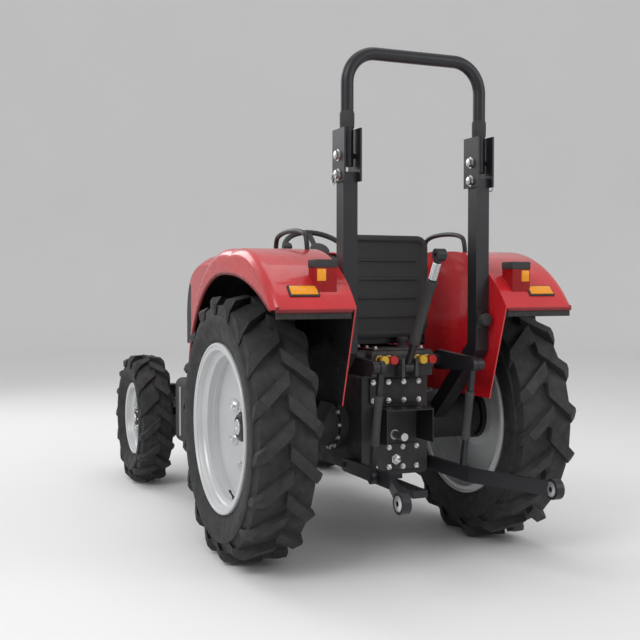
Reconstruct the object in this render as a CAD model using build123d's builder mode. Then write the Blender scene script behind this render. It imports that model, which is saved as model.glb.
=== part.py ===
"""Compact open-station tractor in millimetres: +X forwards, +Y left, +Z up, origin on the ground."""
import os
from collections import namedtuple
from math import atan, atan2, cos, degrees, radians, sin, sqrt, tan

from build123d import *

os.makedirs("parts", exist_ok=True)

# Driving dimensions; every x below is counted forwards from the rear axle
WHEELBASE = 1985
TRACK = 1240
FRONT_REACH = 430
LINK_BALL_X = -980
LINK_EYE_R = 42
REAR_X = (LINK_EYE_R - LINK_BALL_X - WHEELBASE - FRONT_REACH) / 2

# Shared clearances, sheets and roundings
FIT = 0.3
GAP = 2.5
SKIN = 6
SHEET = 7
CAST_ROUND = 20

# Wheels
Wheel = namedtuple("Wheel", "radius half_width bead flange rim_half well disc_x disc_face hub_r boss_r "
                            "boss_end lugs lug_height lug_width")
REAR = Wheel(595, 142, 356, 381, 127, 330, 25, -35, 115, 60, 25, 18, 34, 46)
FRONT = Wheel(400, 104, 203, 223, 70, 180, -5, 22, 78, 46, 48, 15, 26, 36)
SIDES = {"left": 1, "right": -1}
BEAD_SEAT = 36
TYRE_WALL = 20
SHOULDER_IN = 18
SHOULDER_FALL = 14
LUG_SKEW = 42
LUG_NOSE = 7
LUG_ROOT = 12
HAND_HOLES = 8
HAND_HOLE_R = 17
HUB_FLANGE = 25

# Driveline castings
CASE_REAR = -260
CASE_FRONT = 330
CASE_HALF = 165
CASE_LOW = 380
CASE_TOP = 830
GEARBOX_LENGTH = 430
GEARBOX_HALF = 150
GEARBOX_LOW = 390
GEARBOX_TOP = 800
BELL_LENGTH = 250
BELL_HALF = 215
BELL_TOP = 840
BELL_REAR = CASE_FRONT + GEARBOX_LENGTH
ENGINE_REAR = BELL_REAR + BELL_LENGTH
ENGINE_SETBACK = 245
ENGINE_FRONT = WHEELBASE - ENGINE_SETBACK
DRIVELINE_Z = 430
TRUMPET_R = 105
TRUMPET_INSET = 75
TRUMPET_END = TRACK / 2 - TRUMPET_INSET
TRUMPET_COLLAR = 40
HALFSHAFT_R = 32
HALFSHAFT_SEAT = 125
HALFSHAFT_IN = TRUMPET_END - HALFSHAFT_SEAT

# Engine castings, set in from the engine's rear and front faces
Casting = namedtuple("Casting", "rear front y0 y1 z0 z1")
CRANKCASE = Casting(0, 0, -170, 170, 560, 960)
ROCKER_COVER = Casting(140, 60, -95, 95, 1125, 1200)
HEAD = Casting(110, 30, -140, 140, 955, 1130)
SUMP = Casting(90, 40, -135, 135, 475, 565)
EXHAUST_LOG = Casting(150, 110, -230, -165, 975, 1060)
INTAKE_LOG = Casting(190, 150, 160, 205, 985, 1070)
INJECTION_PUMP = Casting(170, 200, 165, 240, 700, 830)
FLYWHEEL_CASE = 90
FLYWHEEL_LOW = 500
COVER_ROUND = 28
CYLINDERS = 4
PORT_R = 20
CRANKCASE_RIBS = 5
RIB = 10
RIB_LOW = 600
RIB_TOP = 920
CRANK_Z = 640
PULLEY_R = 64
PULLEY_LENGTH = 50
FAN_Z = 980
FAN_R = 195
FAN_BLADES = 6
FAN_PITCH = 30
BLADE_WIDTH = 70
ALTERNATOR_R = 50
ALTERNATOR_LENGTH = 140
ALTERNATOR_Y = 200
ALTERNATOR_Z = 880
STARTER_R = 52
STARTER_LENGTH = 250
OIL_FILTER_X = 300
OIL_FILTER_R = 46
OIL_FILTER_LENGTH = 110

# Front frame and bumper
RAIL_IN = 150
RAIL_OUT = 185
RAIL_LOW = 640
RAIL_TOP = 780
DECK_SETBACK = 100
BUMPER_DEPTH = 125
BUMPER_PLATE = 25
BUMPER_FRONT = WHEELBASE + FRONT_REACH
BUMPER_REAR = BUMPER_FRONT - BUMPER_DEPTH
TOW_PIN_R = 12.7
TOW_PIN_SETBACK = 50

# Front axle and steering
AXLE_Z = 545
AXLE_R = 58
DIFF_R = 110
KINGPIN_INSET = 150
KINGPIN_Y = TRACK / 2 - KINGPIN_INSET
KINGPIN_R = 32
KNUCKLE_R = 62
KNUCKLE_LOW = 290
KNUCKLE_TOP = 480
SPINDLE_R = 28
STEER_ARM = 225
STEER_ARM_Z = 440
TIE_ROD_Z = 505
TIE_ROD_R = 15
TIE_EYE_R = 27
TIE_EYE_HALF = 18
TIE_PIN_R = 9
TRUNNION_R = 35
TRUNNION_IN = 125
TRUNNION_OUT = 150
PINION_NOSE = 25

# Hood shell, mask, grille and lamps
HOOD_LAP = 105
HOOD_REAR = ENGINE_REAR - HOOD_LAP
HOOD_OVERHANG = 330
HOOD_NOSE = WHEELBASE + HOOD_OVERHANG
HOOD_LOW = 850
HOOD_TOP = 1420
HOOD_HALF = 300
NOSE_HALF = 250
HOOD_ROUND = 95
TAPER_LENGTH = 665
BROW_SETBACK = 195
BROW_RUN = 437
BROW_FALL = 88
MASK_DEPTH = 150
MASK_TOP = 1245
GRILLE_DEPTH = 110
GRILLE_HALF = 150
GRILLE_LOW = 910
GRILLE_TOP = 1120
SLATS = 7
LAMP_DEPTH = 130
LAMP_IN = 95
LAMP_OUT = 205
LAMP_LOW = 1135
LAMP_TOP = 1215
HINGE_X = HOOD_REAR + 20
HINGE_Z = 1395
HINGE_R = 8
HINGE_EAR_Y = 150
HINGE_PIN = 42

# Radiator and battery
CORE_REAR = WHEELBASE + 25
CORE_DEPTH = 70
SHROUD_DEPTH = 135
RADIATOR_HALF = 215
RADIATOR_TOP = 1255
SHROUD_TOP = 1235
BATTERY_GAP = 15
BATTERY_HALF = 120
BATTERY_TOP = 980

# Dash and steering wheel
DASH_SETBACK = 25
DASH_DEPTH = 160
DASH_HALF = 225
DASH_TOP = 1375
DASH_SHELF = 60
DASH_BROW_Z = 1270
DASH_TUCK = 40
DASH_EAR_Z = 1200
DASH_EAR = 40
DASH_FRONT = HOOD_REAR - DASH_SETBACK
DASH_REAR = DASH_FRONT - DASH_DEPTH
WHEEL_REACH = 100
WHEEL_X = DASH_REAR - WHEEL_REACH
WHEEL_Z = 1400
WHEEL_R = 185
WHEEL_RIM = 14
COLUMN_TILT = 50
COLUMN_LENGTH = 190
SPOKES = 3

# Footplates, steps, tank and box
FLOOR_Z = 650
FLOOR_SHEET = 6
TYRE_GAP = 16
FLOOR_OUT = TRACK / 2 - REAR.half_width - TYRE_GAP
WING_REAR = REAR.radius + 45
WING_OUT = 600
FLOOR_SETBACK = 45
FLOOR_FRONT = ENGINE_REAR - FLOOR_SETBACK
STEP_REAR = WING_REAR + 50
STEP_FRONT = FLOOR_FRONT - 35
STEP_IN = 500
STEP_OUT = 640
STEP_HANGER = 560
STEP_Z = 370
TANK_IN = 330
TANK_OUT = 570
TANK_LOW = 330
TANK_TOP = 700
TANK_ROUND = 40
TANK_SETBACK = 185
TOOL_BOX_OUT = 560
TOOL_BOX_LOW = 380
TOOL_BOX_TOP = 690
TOOL_BOX_SETBACK = 255

# Fenders and tail lamps; outline points are x and z
FENDER_IN = 355
FENDER_OVERHANG = 92
FENDER_OUT = TRACK / 2 + FENDER_OVERHANG
FENDER_ROUND = 42
FENDER_TIP = (640, 790)
FENDER_FRONT = (455, 1225)
FENDER_CROWN = (-60, 1388)
FENDER_BACK = (-470, 1282)
FENDER_TAIL = (-610, 1140)
FENDER_HEEL = (-480, 730)
ARCH_FRONT = (613, 790)
ARCH_MID = (452, 1116)
ARCH_TOP = (0, 1285)
ARCH_BACK = (-320, 1238)
ARCH_TAIL = (-560, 1132)
TAIL_LAMP_IN = FENDER_IN + 65
TAIL_LAMP_WIDTH = 90
TAIL_LAMP_REAR = -560
TAIL_LAMP_FRONT = -480
TAIL_LAMP_LOW = 1200
TAIL_LAMP_TOP = 1330
TAIL_LAMP_ROUND = 14

# Roll bar
ROPS_X = -440
ROPS_POST_HALF = 32.5
ROPS_Y = FENDER_IN - GAP - ROPS_POST_HALF
ROPS_R = 27
ROPS_DEPTH = 70
ROPS_HINGE_Z = 1770
ROPS_TOP = 2230
ROPS_PIN_R = 10
ROPS_PIN_OUT = 14
ROPS_BEND = 130
ROPS_FOOT = (-60, 610)
ROPS_KNEE_Z = 960
ROPS_POST_DROP = 70
ROPS_HOOP_DROP = 45
CHEEK = 8
CHEEK_HALF = 60
CHEEK_HEIGHT = 110

# Three-point hitch
LINK_PIN_X = -150
LINK_PIN_Z = 420
LINK_PIN_R = 11
LINK_PIN_HEAD = 4
LINK_Y = 190
LINK_BEND_X = -600
LINK_BALL_Y = 341
LINK_BALL_BORE = 11.2
LINK_BALL_HALF = 18
LINK_HALF = 12
LINK_HALF_DEPTH = 30
LIFT_X = -230
LIFT_Z = 890
LIFT_LENGTH = 330
LIFT_SHAFT_R = 28
LIFT_BOSS_R = 50
LIFT_HUB_R = 45
LIFT_TIP_R = 26
LIFT_ROD_Y = 220
LIFT_ROD_HALF = 11
LIFT_ARM_Y = 249
LIFT_ARM_HALF = 15
LIFT_CASE_REAR = -330
LIFT_CASE_FRONT = 100
LIFT_CASE_HALF = 150
LIFT_CASE_HEIGHT = 110
TOP_LINK_X = -375
TOP_LINK_Z = 870
TOP_LINK_LENGTH = 560
TOP_LINK_PARK = 60
TOP_LINK_R = 16
TOP_LINK_EYE_R = 26
TOP_LINK_EYE_HALF = 21
TOP_LINK_PIN_R = 9.5
TOP_LINK_BORE = 9.65
BRACKET_PLATE = 12
BRACKET_HALF = 40
BRACKET_BACK = 30

# Power take-off and drawbar
PTO_R = 17.45
PTO_JOURNAL_R = 22
PTO_JOURNAL = 50
PTO_BORE = 56
PTO_Z = 560
PTO_OUT = 95
SHIELD_DEPTH = 150
SHIELD_HALF = 115
SHIELD_LOW = 20
SHIELD_TOP = 130
DRAWBAR_END = -500
DRAWBAR_FRONT = -60
DRAWBAR_HALF = 35
DRAWBAR_LOW = 318
DRAWBAR_DEPTH = 32
DRAWBAR_BORE = 13.2
DRAWBAR_BORE_IN = 45
DRAWBAR_SEAT_REAR = -220
DRAWBAR_SEAT_HALF = 60

# Seat
PEDESTAL_REAR = 105
PEDESTAL_FRONT = 325
PEDESTAL_HALF = 140
PAN_REAR = -160
PAN_FRONT = 400
PAN_HALF = 200
PAN_Z = 965
PAN_SHEET = 20
PAN_BACK = 18
PAN_BACK_TOP = 1330
CUSHION_REAR = -30
CUSHION_FRONT = 420
CUSHION_HALF = 230
CUSHION_TOP = 1085
CUSHION_ROUND = 40
BACKREST_FRONT = -40
BACKREST_HALF = 215
BACKREST_LOW = 1040
BACKREST_TOP = 1470
BACKREST_ROUND = 60

# Exhaust beside the hood
OUTLET_X = ENGINE_REAR + 230
OUTLET_Z = 1010
PIPE_Y = HOOD_HALF - 38
PIPE_LOW = 800
PIPE_R = 22
PIPE_BEND = 28
STACK_X = ENGINE_REAR + 80
STACK_Y = HOOD_HALF + 100
MUFFLER_LOW = 940
MUFFLER_TOP = 1360
MUFFLER_R = 62
MUFFLER_ROUND = 24
TAILPIPE_R = 24
TAILPIPE_Z = 1560
TAILPIPE_TIP = (80, 60)
TAILPIPE_BEND = 40

# Levers stand behind the bell housing, pedals beside it
Lever = namedtuple("Lever", "setback y lean height knob")
LEVERS = [Lever(120, 70, 60, 330, 24), Lever(200, -80, 30, 260, 22), Lever(260, 100, 30, 200, 20)]
LEVER_R = 8
LEVER_BOSS = 12
PEDAL_Y = (300, -270, -360)
PEDAL_X = BELL_REAR + 10
PEDAL_LENGTH = 45
PEDAL_HALF = 38
PEDAL_STEM = 15
PEDAL_Z = 790
PEDAL_PLATE = 12

Block = namedtuple("Block", "x0 x1 y0 y1 z0 z1")


def save(piece, name):
    """Labels a finished piece and writes its file."""
    piece.part.label = name
    export_step(piece.part, f"parts/{name}.step")


def block(b, mode=Mode.ADD):
    """Adds an upright block given by its faces."""
    centre = (REAR_X + (b.x0 + b.x1) / 2, (b.y0 + b.y1) / 2, (b.z0 + b.z1) / 2)
    with Locations(centre):
        Box(b.x1 - b.x0, b.y1 - b.y0, b.z1 - b.z0, mode=mode)


def rod(x, y, z, axis, radius, length, mode=Mode.ADD):
    """Adds a round bar from a start point along an axis."""
    with Locations(Plane(origin=(REAR_X + x, y, z), z_dir=axis)):
        Cylinder(radius, length, align=(Align.CENTER, Align.CENTER, Align.MIN), mode=mode)


def cross_rod(x, y, z, radius, half, mode=Mode.ADD):
    """Adds a round bar across the tractor, centred on y."""
    rod(x, y - half, z, (0, 1, 0), radius, 2 * half, mode)


def span(side, near, far):
    """The two y of a piece on one side, the lower one first."""
    return sorted((side * near, side * far))


def axle_plane(x, side, y, z):
    """Plane with its local x outwards along an axle and its local y the radius."""
    return Plane(origin=(REAR_X + x, side * y, z), x_dir=(0, side, 0), z_dir=(side, 0, 0))


def wheel_plane(x, side, radius):
    """Plane across a wheel's middle, its local x up and its local z to the left."""
    return Plane(origin=(REAR_X + x, side * TRACK / 2, radius), x_dir=(0, 0, 1), z_dir=(0, 1, 0))


def side_plane(y):
    """Plane seen from the right, its local x forwards from the rear axle and its local y up."""
    return Plane(origin=(REAR_X, y, 0), x_dir=(1, 0, 0), z_dir=(0, -1, 0))


def ground_plane(z):
    """Level plane, its local x forwards from the rear axle."""
    return Plane(origin=(REAR_X, 0, z), x_dir=(1, 0, 0), z_dir=(0, 0, 1))


# Tyres: a many-sided carcass that carries two staggered rows of slanting lugs
def lug_sizes(wheel):
    """Middle of a lug along the axle, reach of its leading corner and height of its flat top."""
    skew = radians(LUG_SKEW)
    middle = (wheel.half_width - LUG_NOSE) / 2
    lead = (middle + LUG_NOSE) * tan(skew) + wheel.lug_width / 2 / cos(skew)
    return middle, lead, sqrt(wheel.radius**2 - lead**2)


def make_lug(wheel, half):
    """One lug of the upper or lower half of a tread that lies across local z, its radius along local x."""
    skew = radians(LUG_SKEW)
    middle, _, top = lug_sizes(wheel)
    reach = wheel.half_width / cos(skew)
    root = wheel.radius - wheel.lug_height - SHOULDER_FALL - LUG_ROOT
    heel = (wheel.half_width - SHOULDER_IN - middle) / cos(skew)
    end = (wheel.half_width - middle) / cos(skew)
    plane = Plane(origin=(0, 0, half * middle), x_dir=(0, -sin(skew), half * cos(skew)),
                  z_dir=(0, half * cos(skew), sin(skew)))
    with BuildPart() as lug:
        with BuildSketch(plane):
            with BuildLine():
                Polyline((-reach, root), (-reach, top), (heel - SHOULDER_IN, top),
                         (end, root + SHOULDER_FALL), (end + SHOULDER_IN, root - wheel.lug_height),
                         (end, root - wheel.lug_height), (heel, root), close=True)
            make_face()
        extrude(amount=wheel.lug_width / 2, both=True)
        with Locations((wheel.radius, 0, half * middle)):
            Box(wheel.radius, wheel.radius, wheel.half_width + LUG_NOSE, mode=Mode.INTERSECT)
    return lug


def make_tyre(wheel, x, side):
    """Hollow carcass with its lugs, turned so that a lug's leading corner stands on the ground."""
    plane = wheel_plane(x, side, wheel.radius)
    bead = wheel.rim_half - SHEET - FIT
    shoulder = wheel.half_width - SHOULDER_IN
    tread = wheel.radius - wheel.lug_height
    edge = tread - SHOULDER_FALL
    middle = (wheel.flange + edge) / 2
    lip = wheel.flange + SHEET
    sections = [(-bead, lip), (-wheel.half_width, middle), (-shoulder, edge), (0, tread), (shoulder, edge),
                (wheel.half_width, middle), (bead, lip)]
    hollow = [(TYRE_WALL - bead, lip), (TYRE_WALL - wheel.half_width, middle),
              (TYRE_WALL - shoulder, edge - TYRE_WALL), (shoulder - TYRE_WALL, edge - TYRE_WALL),
              (wheel.half_width - TYRE_WALL, middle), (bead - TYRE_WALL, lip)]
    lead, top = lug_sizes(wheel)[1:]
    first = 180 - degrees(atan2(lead, top))
    with BuildPart() as piece:
        for along, radius in sections:
            with BuildSketch(plane.offset(along)):
                RegularPolygon(radius, 2 * wheel.lugs)
        loft(ruled=True)
        for along, radius in hollow:
            with BuildSketch(plane.offset(along)):
                RegularPolygon(radius, 2 * wheel.lugs)
        loft(ruled=True, mode=Mode.SUBTRACT)
        with BuildSketch(plane):
            RegularPolygon(wheel.bead + FIT, 2 * wheel.lugs, major_radius=False)
        extrude(amount=wheel.half_width, both=True, mode=Mode.SUBTRACT)
        for half, start in ((1, first), (-1, first + 180 / wheel.lugs)):
            lug = make_lug(wheel, half)
            with Locations(plane):
                with PolarLocations(0, wheel.lugs, start_angle=start):
                    add(lug.part)
    return piece


def make_rim(wheel, x, side):
    """Drop-centre rim with its dished disc."""
    plane = axle_plane(x, side, TRACK / 2, wheel.radius)
    edge = wheel.rim_half
    seat = edge - BEAD_SEAT
    slope = seat - (wheel.bead - wheel.well) / 2
    inner = wheel.well - SHEET
    disc_r = wheel.hub_r + BEAD_SEAT
    bore = wheel.boss_r + FIT
    with BuildPart() as piece:
        with BuildSketch(plane):
            with BuildLine():
                Polyline(
                    (edge, wheel.flange), (edge - SHEET, wheel.flange), (edge - SHEET, wheel.bead),
                    (seat, wheel.bead), (slope, wheel.well), (-slope, wheel.well), (-seat, wheel.bead),
                    (SHEET - edge, wheel.bead), (SHEET - edge, wheel.flange), (-edge, wheel.flange),
                    (-edge, wheel.bead - SHEET), (-seat - SHEET / 2, wheel.bead - SHEET),
                    (-slope - SHEET / 2, inner), (slope + SHEET / 2, inner),
                    (seat + SHEET / 2, wheel.bead - SHEET), (edge, wheel.bead - SHEET), close=True)
            make_face()
            with BuildLine():
                Polyline(
                    (wheel.disc_x, inner + SHEET / 2), (wheel.disc_x - SHEET, inner + SHEET / 2),
                    (wheel.disc_face - SHEET, disc_r), (wheel.disc_face - SHEET, bore),
                    (wheel.disc_face, bore), (wheel.disc_face, disc_r), close=True)
            make_face()
        revolve(axis=Axis(plane.origin, plane.x_dir))
    return piece


def make_front_rim(side):
    """Front rim with hand holes through the slope of its disc."""
    rim = make_rim(FRONT, WHEELBASE, side)
    circle = (FRONT.hub_r + BEAD_SEAT + FRONT.well) / 2
    with BuildPart() as piece:
        add(rim.part)
        with Locations(wheel_plane(WHEELBASE, side, FRONT.radius)):
            with PolarLocations(circle, HAND_HOLES):
                Cylinder(HAND_HOLE_R, 2 * FRONT.rim_half, mode=Mode.SUBTRACT)
    return piece


def make_rear_hub(side):
    """Driven hub whose half shaft runs into the axle tube."""
    plane = axle_plane(0, side, TRACK / 2, REAR.radius)
    back = REAR.disc_face - SHEET - FIT
    shaft_in = HALFSHAFT_IN - TRACK / 2
    with BuildPart() as piece:
        with BuildSketch(plane):
            with BuildLine():
                Polyline(
                    (shaft_in, 0), (shaft_in, HALFSHAFT_R), (back - HUB_FLANGE, HALFSHAFT_R),
                    (back - HUB_FLANGE, REAR.hub_r), (back, REAR.hub_r), (back, REAR.boss_r),
                    (REAR.boss_end, REAR.boss_r), (REAR.boss_end, 0), close=True)
            make_face()
        revolve(axis=Axis(plane.origin, plane.x_dir))
    return piece


def make_front_hub(side):
    """Hub running on the knuckle's spindle."""
    plane = axle_plane(WHEELBASE, side, TRACK / 2, FRONT.radius)
    back = FRONT.disc_face - SHEET - FIT
    cap = FRONT.boss_end - SHEET
    bore = SPINDLE_R + FIT
    with BuildPart() as piece:
        with BuildSketch(plane):
            with BuildLine():
                Polyline(
                    (back - 2 * HUB_FLANGE, bore), (back - 2 * HUB_FLANGE, FRONT.boss_r),
                    (back - HUB_FLANGE, FRONT.hub_r), (back, FRONT.hub_r), (back, FRONT.boss_r),
                    (FRONT.boss_end, FRONT.boss_r), (FRONT.boss_end, 0), (cap, 0), (cap, bore), close=True)
            make_face()
        revolve(axis=Axis(plane.origin, plane.x_dir))
    return piece


for side_name, side in SIDES.items():
    save(make_tyre(REAR, 0, side), f"tyre_rear_{side_name}")
    save(make_rim(REAR, 0, side), f"rim_rear_{side_name}")
    save(make_rear_hub(side), f"hub_rear_{side_name}")
    save(make_tyre(FRONT, WHEELBASE, side), f"tyre_front_{side_name}")
    save(make_front_rim(side), f"rim_front_{side_name}")
    save(make_front_hub(side), f"hub_front_{side_name}")

# Rear axle case with its tubes, link pins and bore for the power take-off
with BuildPart() as rear_axle:
    block(Block(CASE_REAR, CASE_FRONT, -CASE_HALF, CASE_HALF, CASE_LOW, CASE_TOP))
    fillet(rear_axle.edges().filter_by(Axis.X), radius=CAST_ROUND)
    cross_rod(0, 0, REAR.radius, TRUMPET_R, TRUMPET_END)
    cross_rod(0, 0, REAR.radius, TRUMPET_R + CAST_ROUND, CASE_HALF + TRUMPET_COLLAR)
    for side in SIDES.values():
        cross_rod(0, side * TRUMPET_END, REAR.radius, HALFSHAFT_R + FIT, HALFSHAFT_SEAT + SKIN, Mode.SUBTRACT)
        pin_end = LINK_Y + 2 * LINK_HALF
        rod(LINK_PIN_X, side * (CASE_HALF - SKIN), LINK_PIN_Z, (0, side, 0), LINK_PIN_R, pin_end - CASE_HALF)
    rod(CASE_REAR, 0, PTO_Z, (1, 0, 0), PTO_JOURNAL_R + FIT, PTO_BORE, Mode.SUBTRACT)
save(rear_axle, "rear_axle")

# Gearbox from the rear case to the engine, widening into the bell housing
with BuildPart() as gearbox:
    block(Block(BELL_REAR, ENGINE_REAR, -BELL_HALF, BELL_HALF, GEARBOX_LOW, BELL_TOP))
    fillet(gearbox.edges().filter_by(Axis.X), radius=CAST_ROUND)
    block(Block(CASE_FRONT, BELL_REAR, -GEARBOX_HALF, GEARBOX_HALF, GEARBOX_LOW, GEARBOX_TOP))
save(gearbox, "gearbox")


# Engine, open to view under the hood
def casting(part):
    """Adds a casting set in from the engine's two ends."""
    block(Block(ENGINE_REAR + part.rear, ENGINE_FRONT - part.front, part.y0, part.y1, part.z0, part.z1))


def ports(log, start, length):
    """Adds a port from the head to a manifold log for each cylinder."""
    first = ENGINE_REAR + log.rear
    pitch = (ENGINE_FRONT - log.front - first) / CYLINDERS
    for number in range(CYLINDERS):
        rod(first + (number + 0.5) * pitch, start, (log.z0 + log.z1) / 2, (0, length, 0), PORT_R, abs(length))


with BuildPart() as engine:
    casting(ROCKER_COVER)
    fillet(engine.edges().group_by(Axis.Z)[-1], radius=COVER_ROUND)
    for part in (CRANKCASE, HEAD, SUMP, EXHAUST_LOG, INTAKE_LOG, INJECTION_PUMP):
        casting(part)
    flywheel_front = ENGINE_REAR + FLYWHEEL_CASE
    block(Block(ENGINE_REAR, flywheel_front, -BELL_HALF, BELL_HALF, FLYWHEEL_LOW, BELL_TOP))
    ports(EXHAUST_LOG, HEAD.y0 + SKIN, EXHAUST_LOG.y1 - HEAD.y0 - 2 * SKIN)
    ports(INTAKE_LOG, HEAD.y1 - SKIN, INTAKE_LOG.y0 - HEAD.y1 + 2 * SKIN)
    rib_pitch = (ENGINE_FRONT - flywheel_front) / (CRANKCASE_RIBS + 1)
    for number in range(CRANKCASE_RIBS):
        rib_x = flywheel_front + (number + 1) * rib_pitch
        rib_y = (CRANKCASE.y0 - RIB, CRANKCASE.y1 + RIB)
        block(Block(rib_x - RIB / 2, rib_x + RIB / 2, *rib_y, RIB_LOW, RIB_TOP))
    for pulley_z in (FAN_Z, CRANK_Z):
        rod(ENGINE_FRONT - SKIN, 0, pulley_z, (1, 0, 0), PULLEY_R, PULLEY_LENGTH + SKIN)
    rod(ENGINE_FRONT + PULLEY_LENGTH, 0, FAN_Z, (1, 0, 0), PULLEY_R, HUB_FLANGE)
    fan_x = ENGINE_FRONT + PULLEY_LENGTH + HUB_FLANGE / 2
    blade_in = PULLEY_R - SKIN
    with Locations(Plane(origin=(REAR_X + fan_x, 0, FAN_Z), z_dir=(1, 0, 0))):
        with PolarLocations((FAN_R + blade_in) / 2, FAN_BLADES):
            Box(FAN_R - blade_in, BLADE_WIDTH, SKIN, rotation=(FAN_PITCH, 0, 0))
    alternator_x = ENGINE_FRONT - ALTERNATOR_LENGTH
    rod(alternator_x, ALTERNATOR_Y, ALTERNATOR_Z, (1, 0, 0), ALTERNATOR_R, ALTERNATOR_LENGTH)
    rod(flywheel_front - SKIN, CRANKCASE.y0, CRANK_Z, (1, 0, 0), STARTER_R, STARTER_LENGTH)
    rod(ENGINE_REAR + OIL_FILTER_X, CRANKCASE.y1 - SKIN, CRANK_Z, (0, 1, 0), OIL_FILTER_R, OIL_FILTER_LENGTH)
save(engine, "engine")

# Front frame with the axle's trunnion brackets and the bumper
DECK_TOP = RAIL_TOP + SHEET
with BuildPart() as front_frame:
    for side in SIDES.values():
        block(Block(ENGINE_FRONT, BUMPER_REAR + SKIN, *span(side, RAIL_IN, RAIL_OUT), RAIL_LOW, DECK_TOP))
    deck_half = RAIL_IN + SKIN
    block(Block(ENGINE_FRONT + DECK_SETBACK, BUMPER_REAR + SKIN, -deck_half, deck_half, RAIL_TOP, DECK_TOP))
    block(Block(BUMPER_REAR, BUMPER_REAR + BUMPER_PLATE, -RAIL_OUT, RAIL_OUT, RAIL_LOW, DECK_TOP))
    for low in (RAIL_LOW, DECK_TOP - BUMPER_PLATE):
        block(Block(BUMPER_REAR + SKIN, BUMPER_FRONT, -RAIL_OUT, RAIL_OUT, low, low + BUMPER_PLATE))
    rod(BUMPER_FRONT - TOW_PIN_SETBACK, 0, RAIL_LOW, (0, 0, 1), TOW_PIN_R, DECK_TOP - RAIL_LOW, Mode.SUBTRACT)
    for start in (TRUNNION_IN, -TRUNNION_OUT):
        with BuildSketch(Plane(origin=(REAR_X + WHEELBASE + start, 0, 0), x_dir=(0, 1, 0), z_dir=(1, 0, 0))):
            with Locations((0, AXLE_Z)):
                Circle(KNUCKLE_R)
            with Locations((0, RAIL_TOP - RAIL_IN / 2)):
                Rectangle(2 * RAIL_IN + 2 * SKIN, RAIL_IN)
            make_hull()
            with Locations((0, AXLE_Z)):
                Circle(TRUNNION_R + FIT, mode=Mode.SUBTRACT)
        extrude(amount=TRUNNION_OUT - TRUNNION_IN)
save(front_frame, "front_frame")

# Front axle with its trunnions, pinion nose and kingpins
PINION_X = WHEELBASE - TRUNNION_OUT - PINION_NOSE
with BuildPart() as front_axle:
    cross_rod(WHEELBASE, 0, AXLE_Z, AXLE_R, KINGPIN_Y)
    with Locations((REAR_X + WHEELBASE, 0, AXLE_Z)):
        Sphere(DIFF_R)
    rod(WHEELBASE - TRUNNION_OUT, 0, AXLE_Z, (1, 0, 0), TRUNNION_R, 2 * TRUNNION_OUT)
    rod(PINION_X, 0, DRIVELINE_Z, (1, 0, 0), TRUNNION_R, WHEELBASE - PINION_X)
    for side in SIDES.values():
        boss_height = AXLE_Z + AXLE_R - KNUCKLE_TOP
        rod(WHEELBASE, side * KINGPIN_Y, KNUCKLE_TOP + SKIN, (0, 0, 1), KNUCKLE_R, boss_height)
        rod(WHEELBASE, side * KINGPIN_Y, KNUCKLE_LOW + SKIN, (0, 0, 1), KINGPIN_R, AXLE_Z - KNUCKLE_LOW)
save(front_axle, "front_axle")

with BuildPart() as tie_rod:
    cross_rod(WHEELBASE - STEER_ARM, 0, TIE_ROD_Z, TIE_ROD_R, KINGPIN_Y)
    for side in SIDES.values():
        eye_z = TIE_ROD_Z - TIE_EYE_HALF
        rod(WHEELBASE - STEER_ARM, side * KINGPIN_Y, eye_z, (0, 0, 1), TIE_EYE_R, 2 * TIE_EYE_HALF)
        rod(WHEELBASE - STEER_ARM, side * KINGPIN_Y, eye_z, (0, 0, 1), TIE_PIN_R + FIT, 2 * TIE_EYE_HALF,
            Mode.SUBTRACT)
save(tie_rod, "tie_rod")

with BuildPart() as front_driveshaft:
    rod(ENGINE_REAR, 0, DRIVELINE_Z, (1, 0, 0), SPINDLE_R, PINION_X - ENGINE_REAR)
save(front_driveshaft, "front_driveshaft")


def make_knuckle(side):
    """Upright final-drive housing on its kingpin, with the spindle, the steering arm and its pin."""
    eye_x = WHEELBASE - STEER_ARM
    arm_top = TIE_ROD_Z - TIE_EYE_HALF - GAP
    pin_top = TIE_ROD_Z + TIE_EYE_HALF
    hub_back = TRACK / 2 + FRONT.disc_face - SHEET - 2 * HUB_FLANGE - SKIN
    spindle = TRACK / 2 + FRONT.boss_end - 3 * SHEET - KINGPIN_Y
    arm_y = span(side, KINGPIN_Y - TIE_EYE_R, KINGPIN_Y + TIE_EYE_R)
    with BuildPart() as piece:
        rod(WHEELBASE, side * KINGPIN_Y, KNUCKLE_LOW, (0, 0, 1), KNUCKLE_R, KNUCKLE_TOP - KNUCKLE_LOW)
        rod(WHEELBASE, side * KINGPIN_Y, FRONT.radius, (0, side, 0), SPINDLE_R, spindle)
        rod(WHEELBASE, side * KINGPIN_Y, FRONT.radius, (0, side, 0), FRONT.hub_r, hub_back - KINGPIN_Y)
        block(Block(eye_x, WHEELBASE, *arm_y, STEER_ARM_Z, arm_top - TIE_PIN_R))
        rod(eye_x, side * KINGPIN_Y, STEER_ARM_Z, (0, 0, 1), TIE_EYE_R, arm_top - STEER_ARM_Z)
        rod(eye_x, side * KINGPIN_Y, STEER_ARM_Z, (0, 0, 1), TIE_PIN_R, pin_top - STEER_ARM_Z)
        rod(WHEELBASE, side * KINGPIN_Y, KNUCKLE_LOW + SKIN, (0, 0, 1), KINGPIN_R + FIT,
            KNUCKLE_TOP - KNUCKLE_LOW, Mode.SUBTRACT)
    return piece


for side_name, side in SIDES.items():
    save(make_knuckle(side), f"knuckle_{side_name}")

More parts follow.
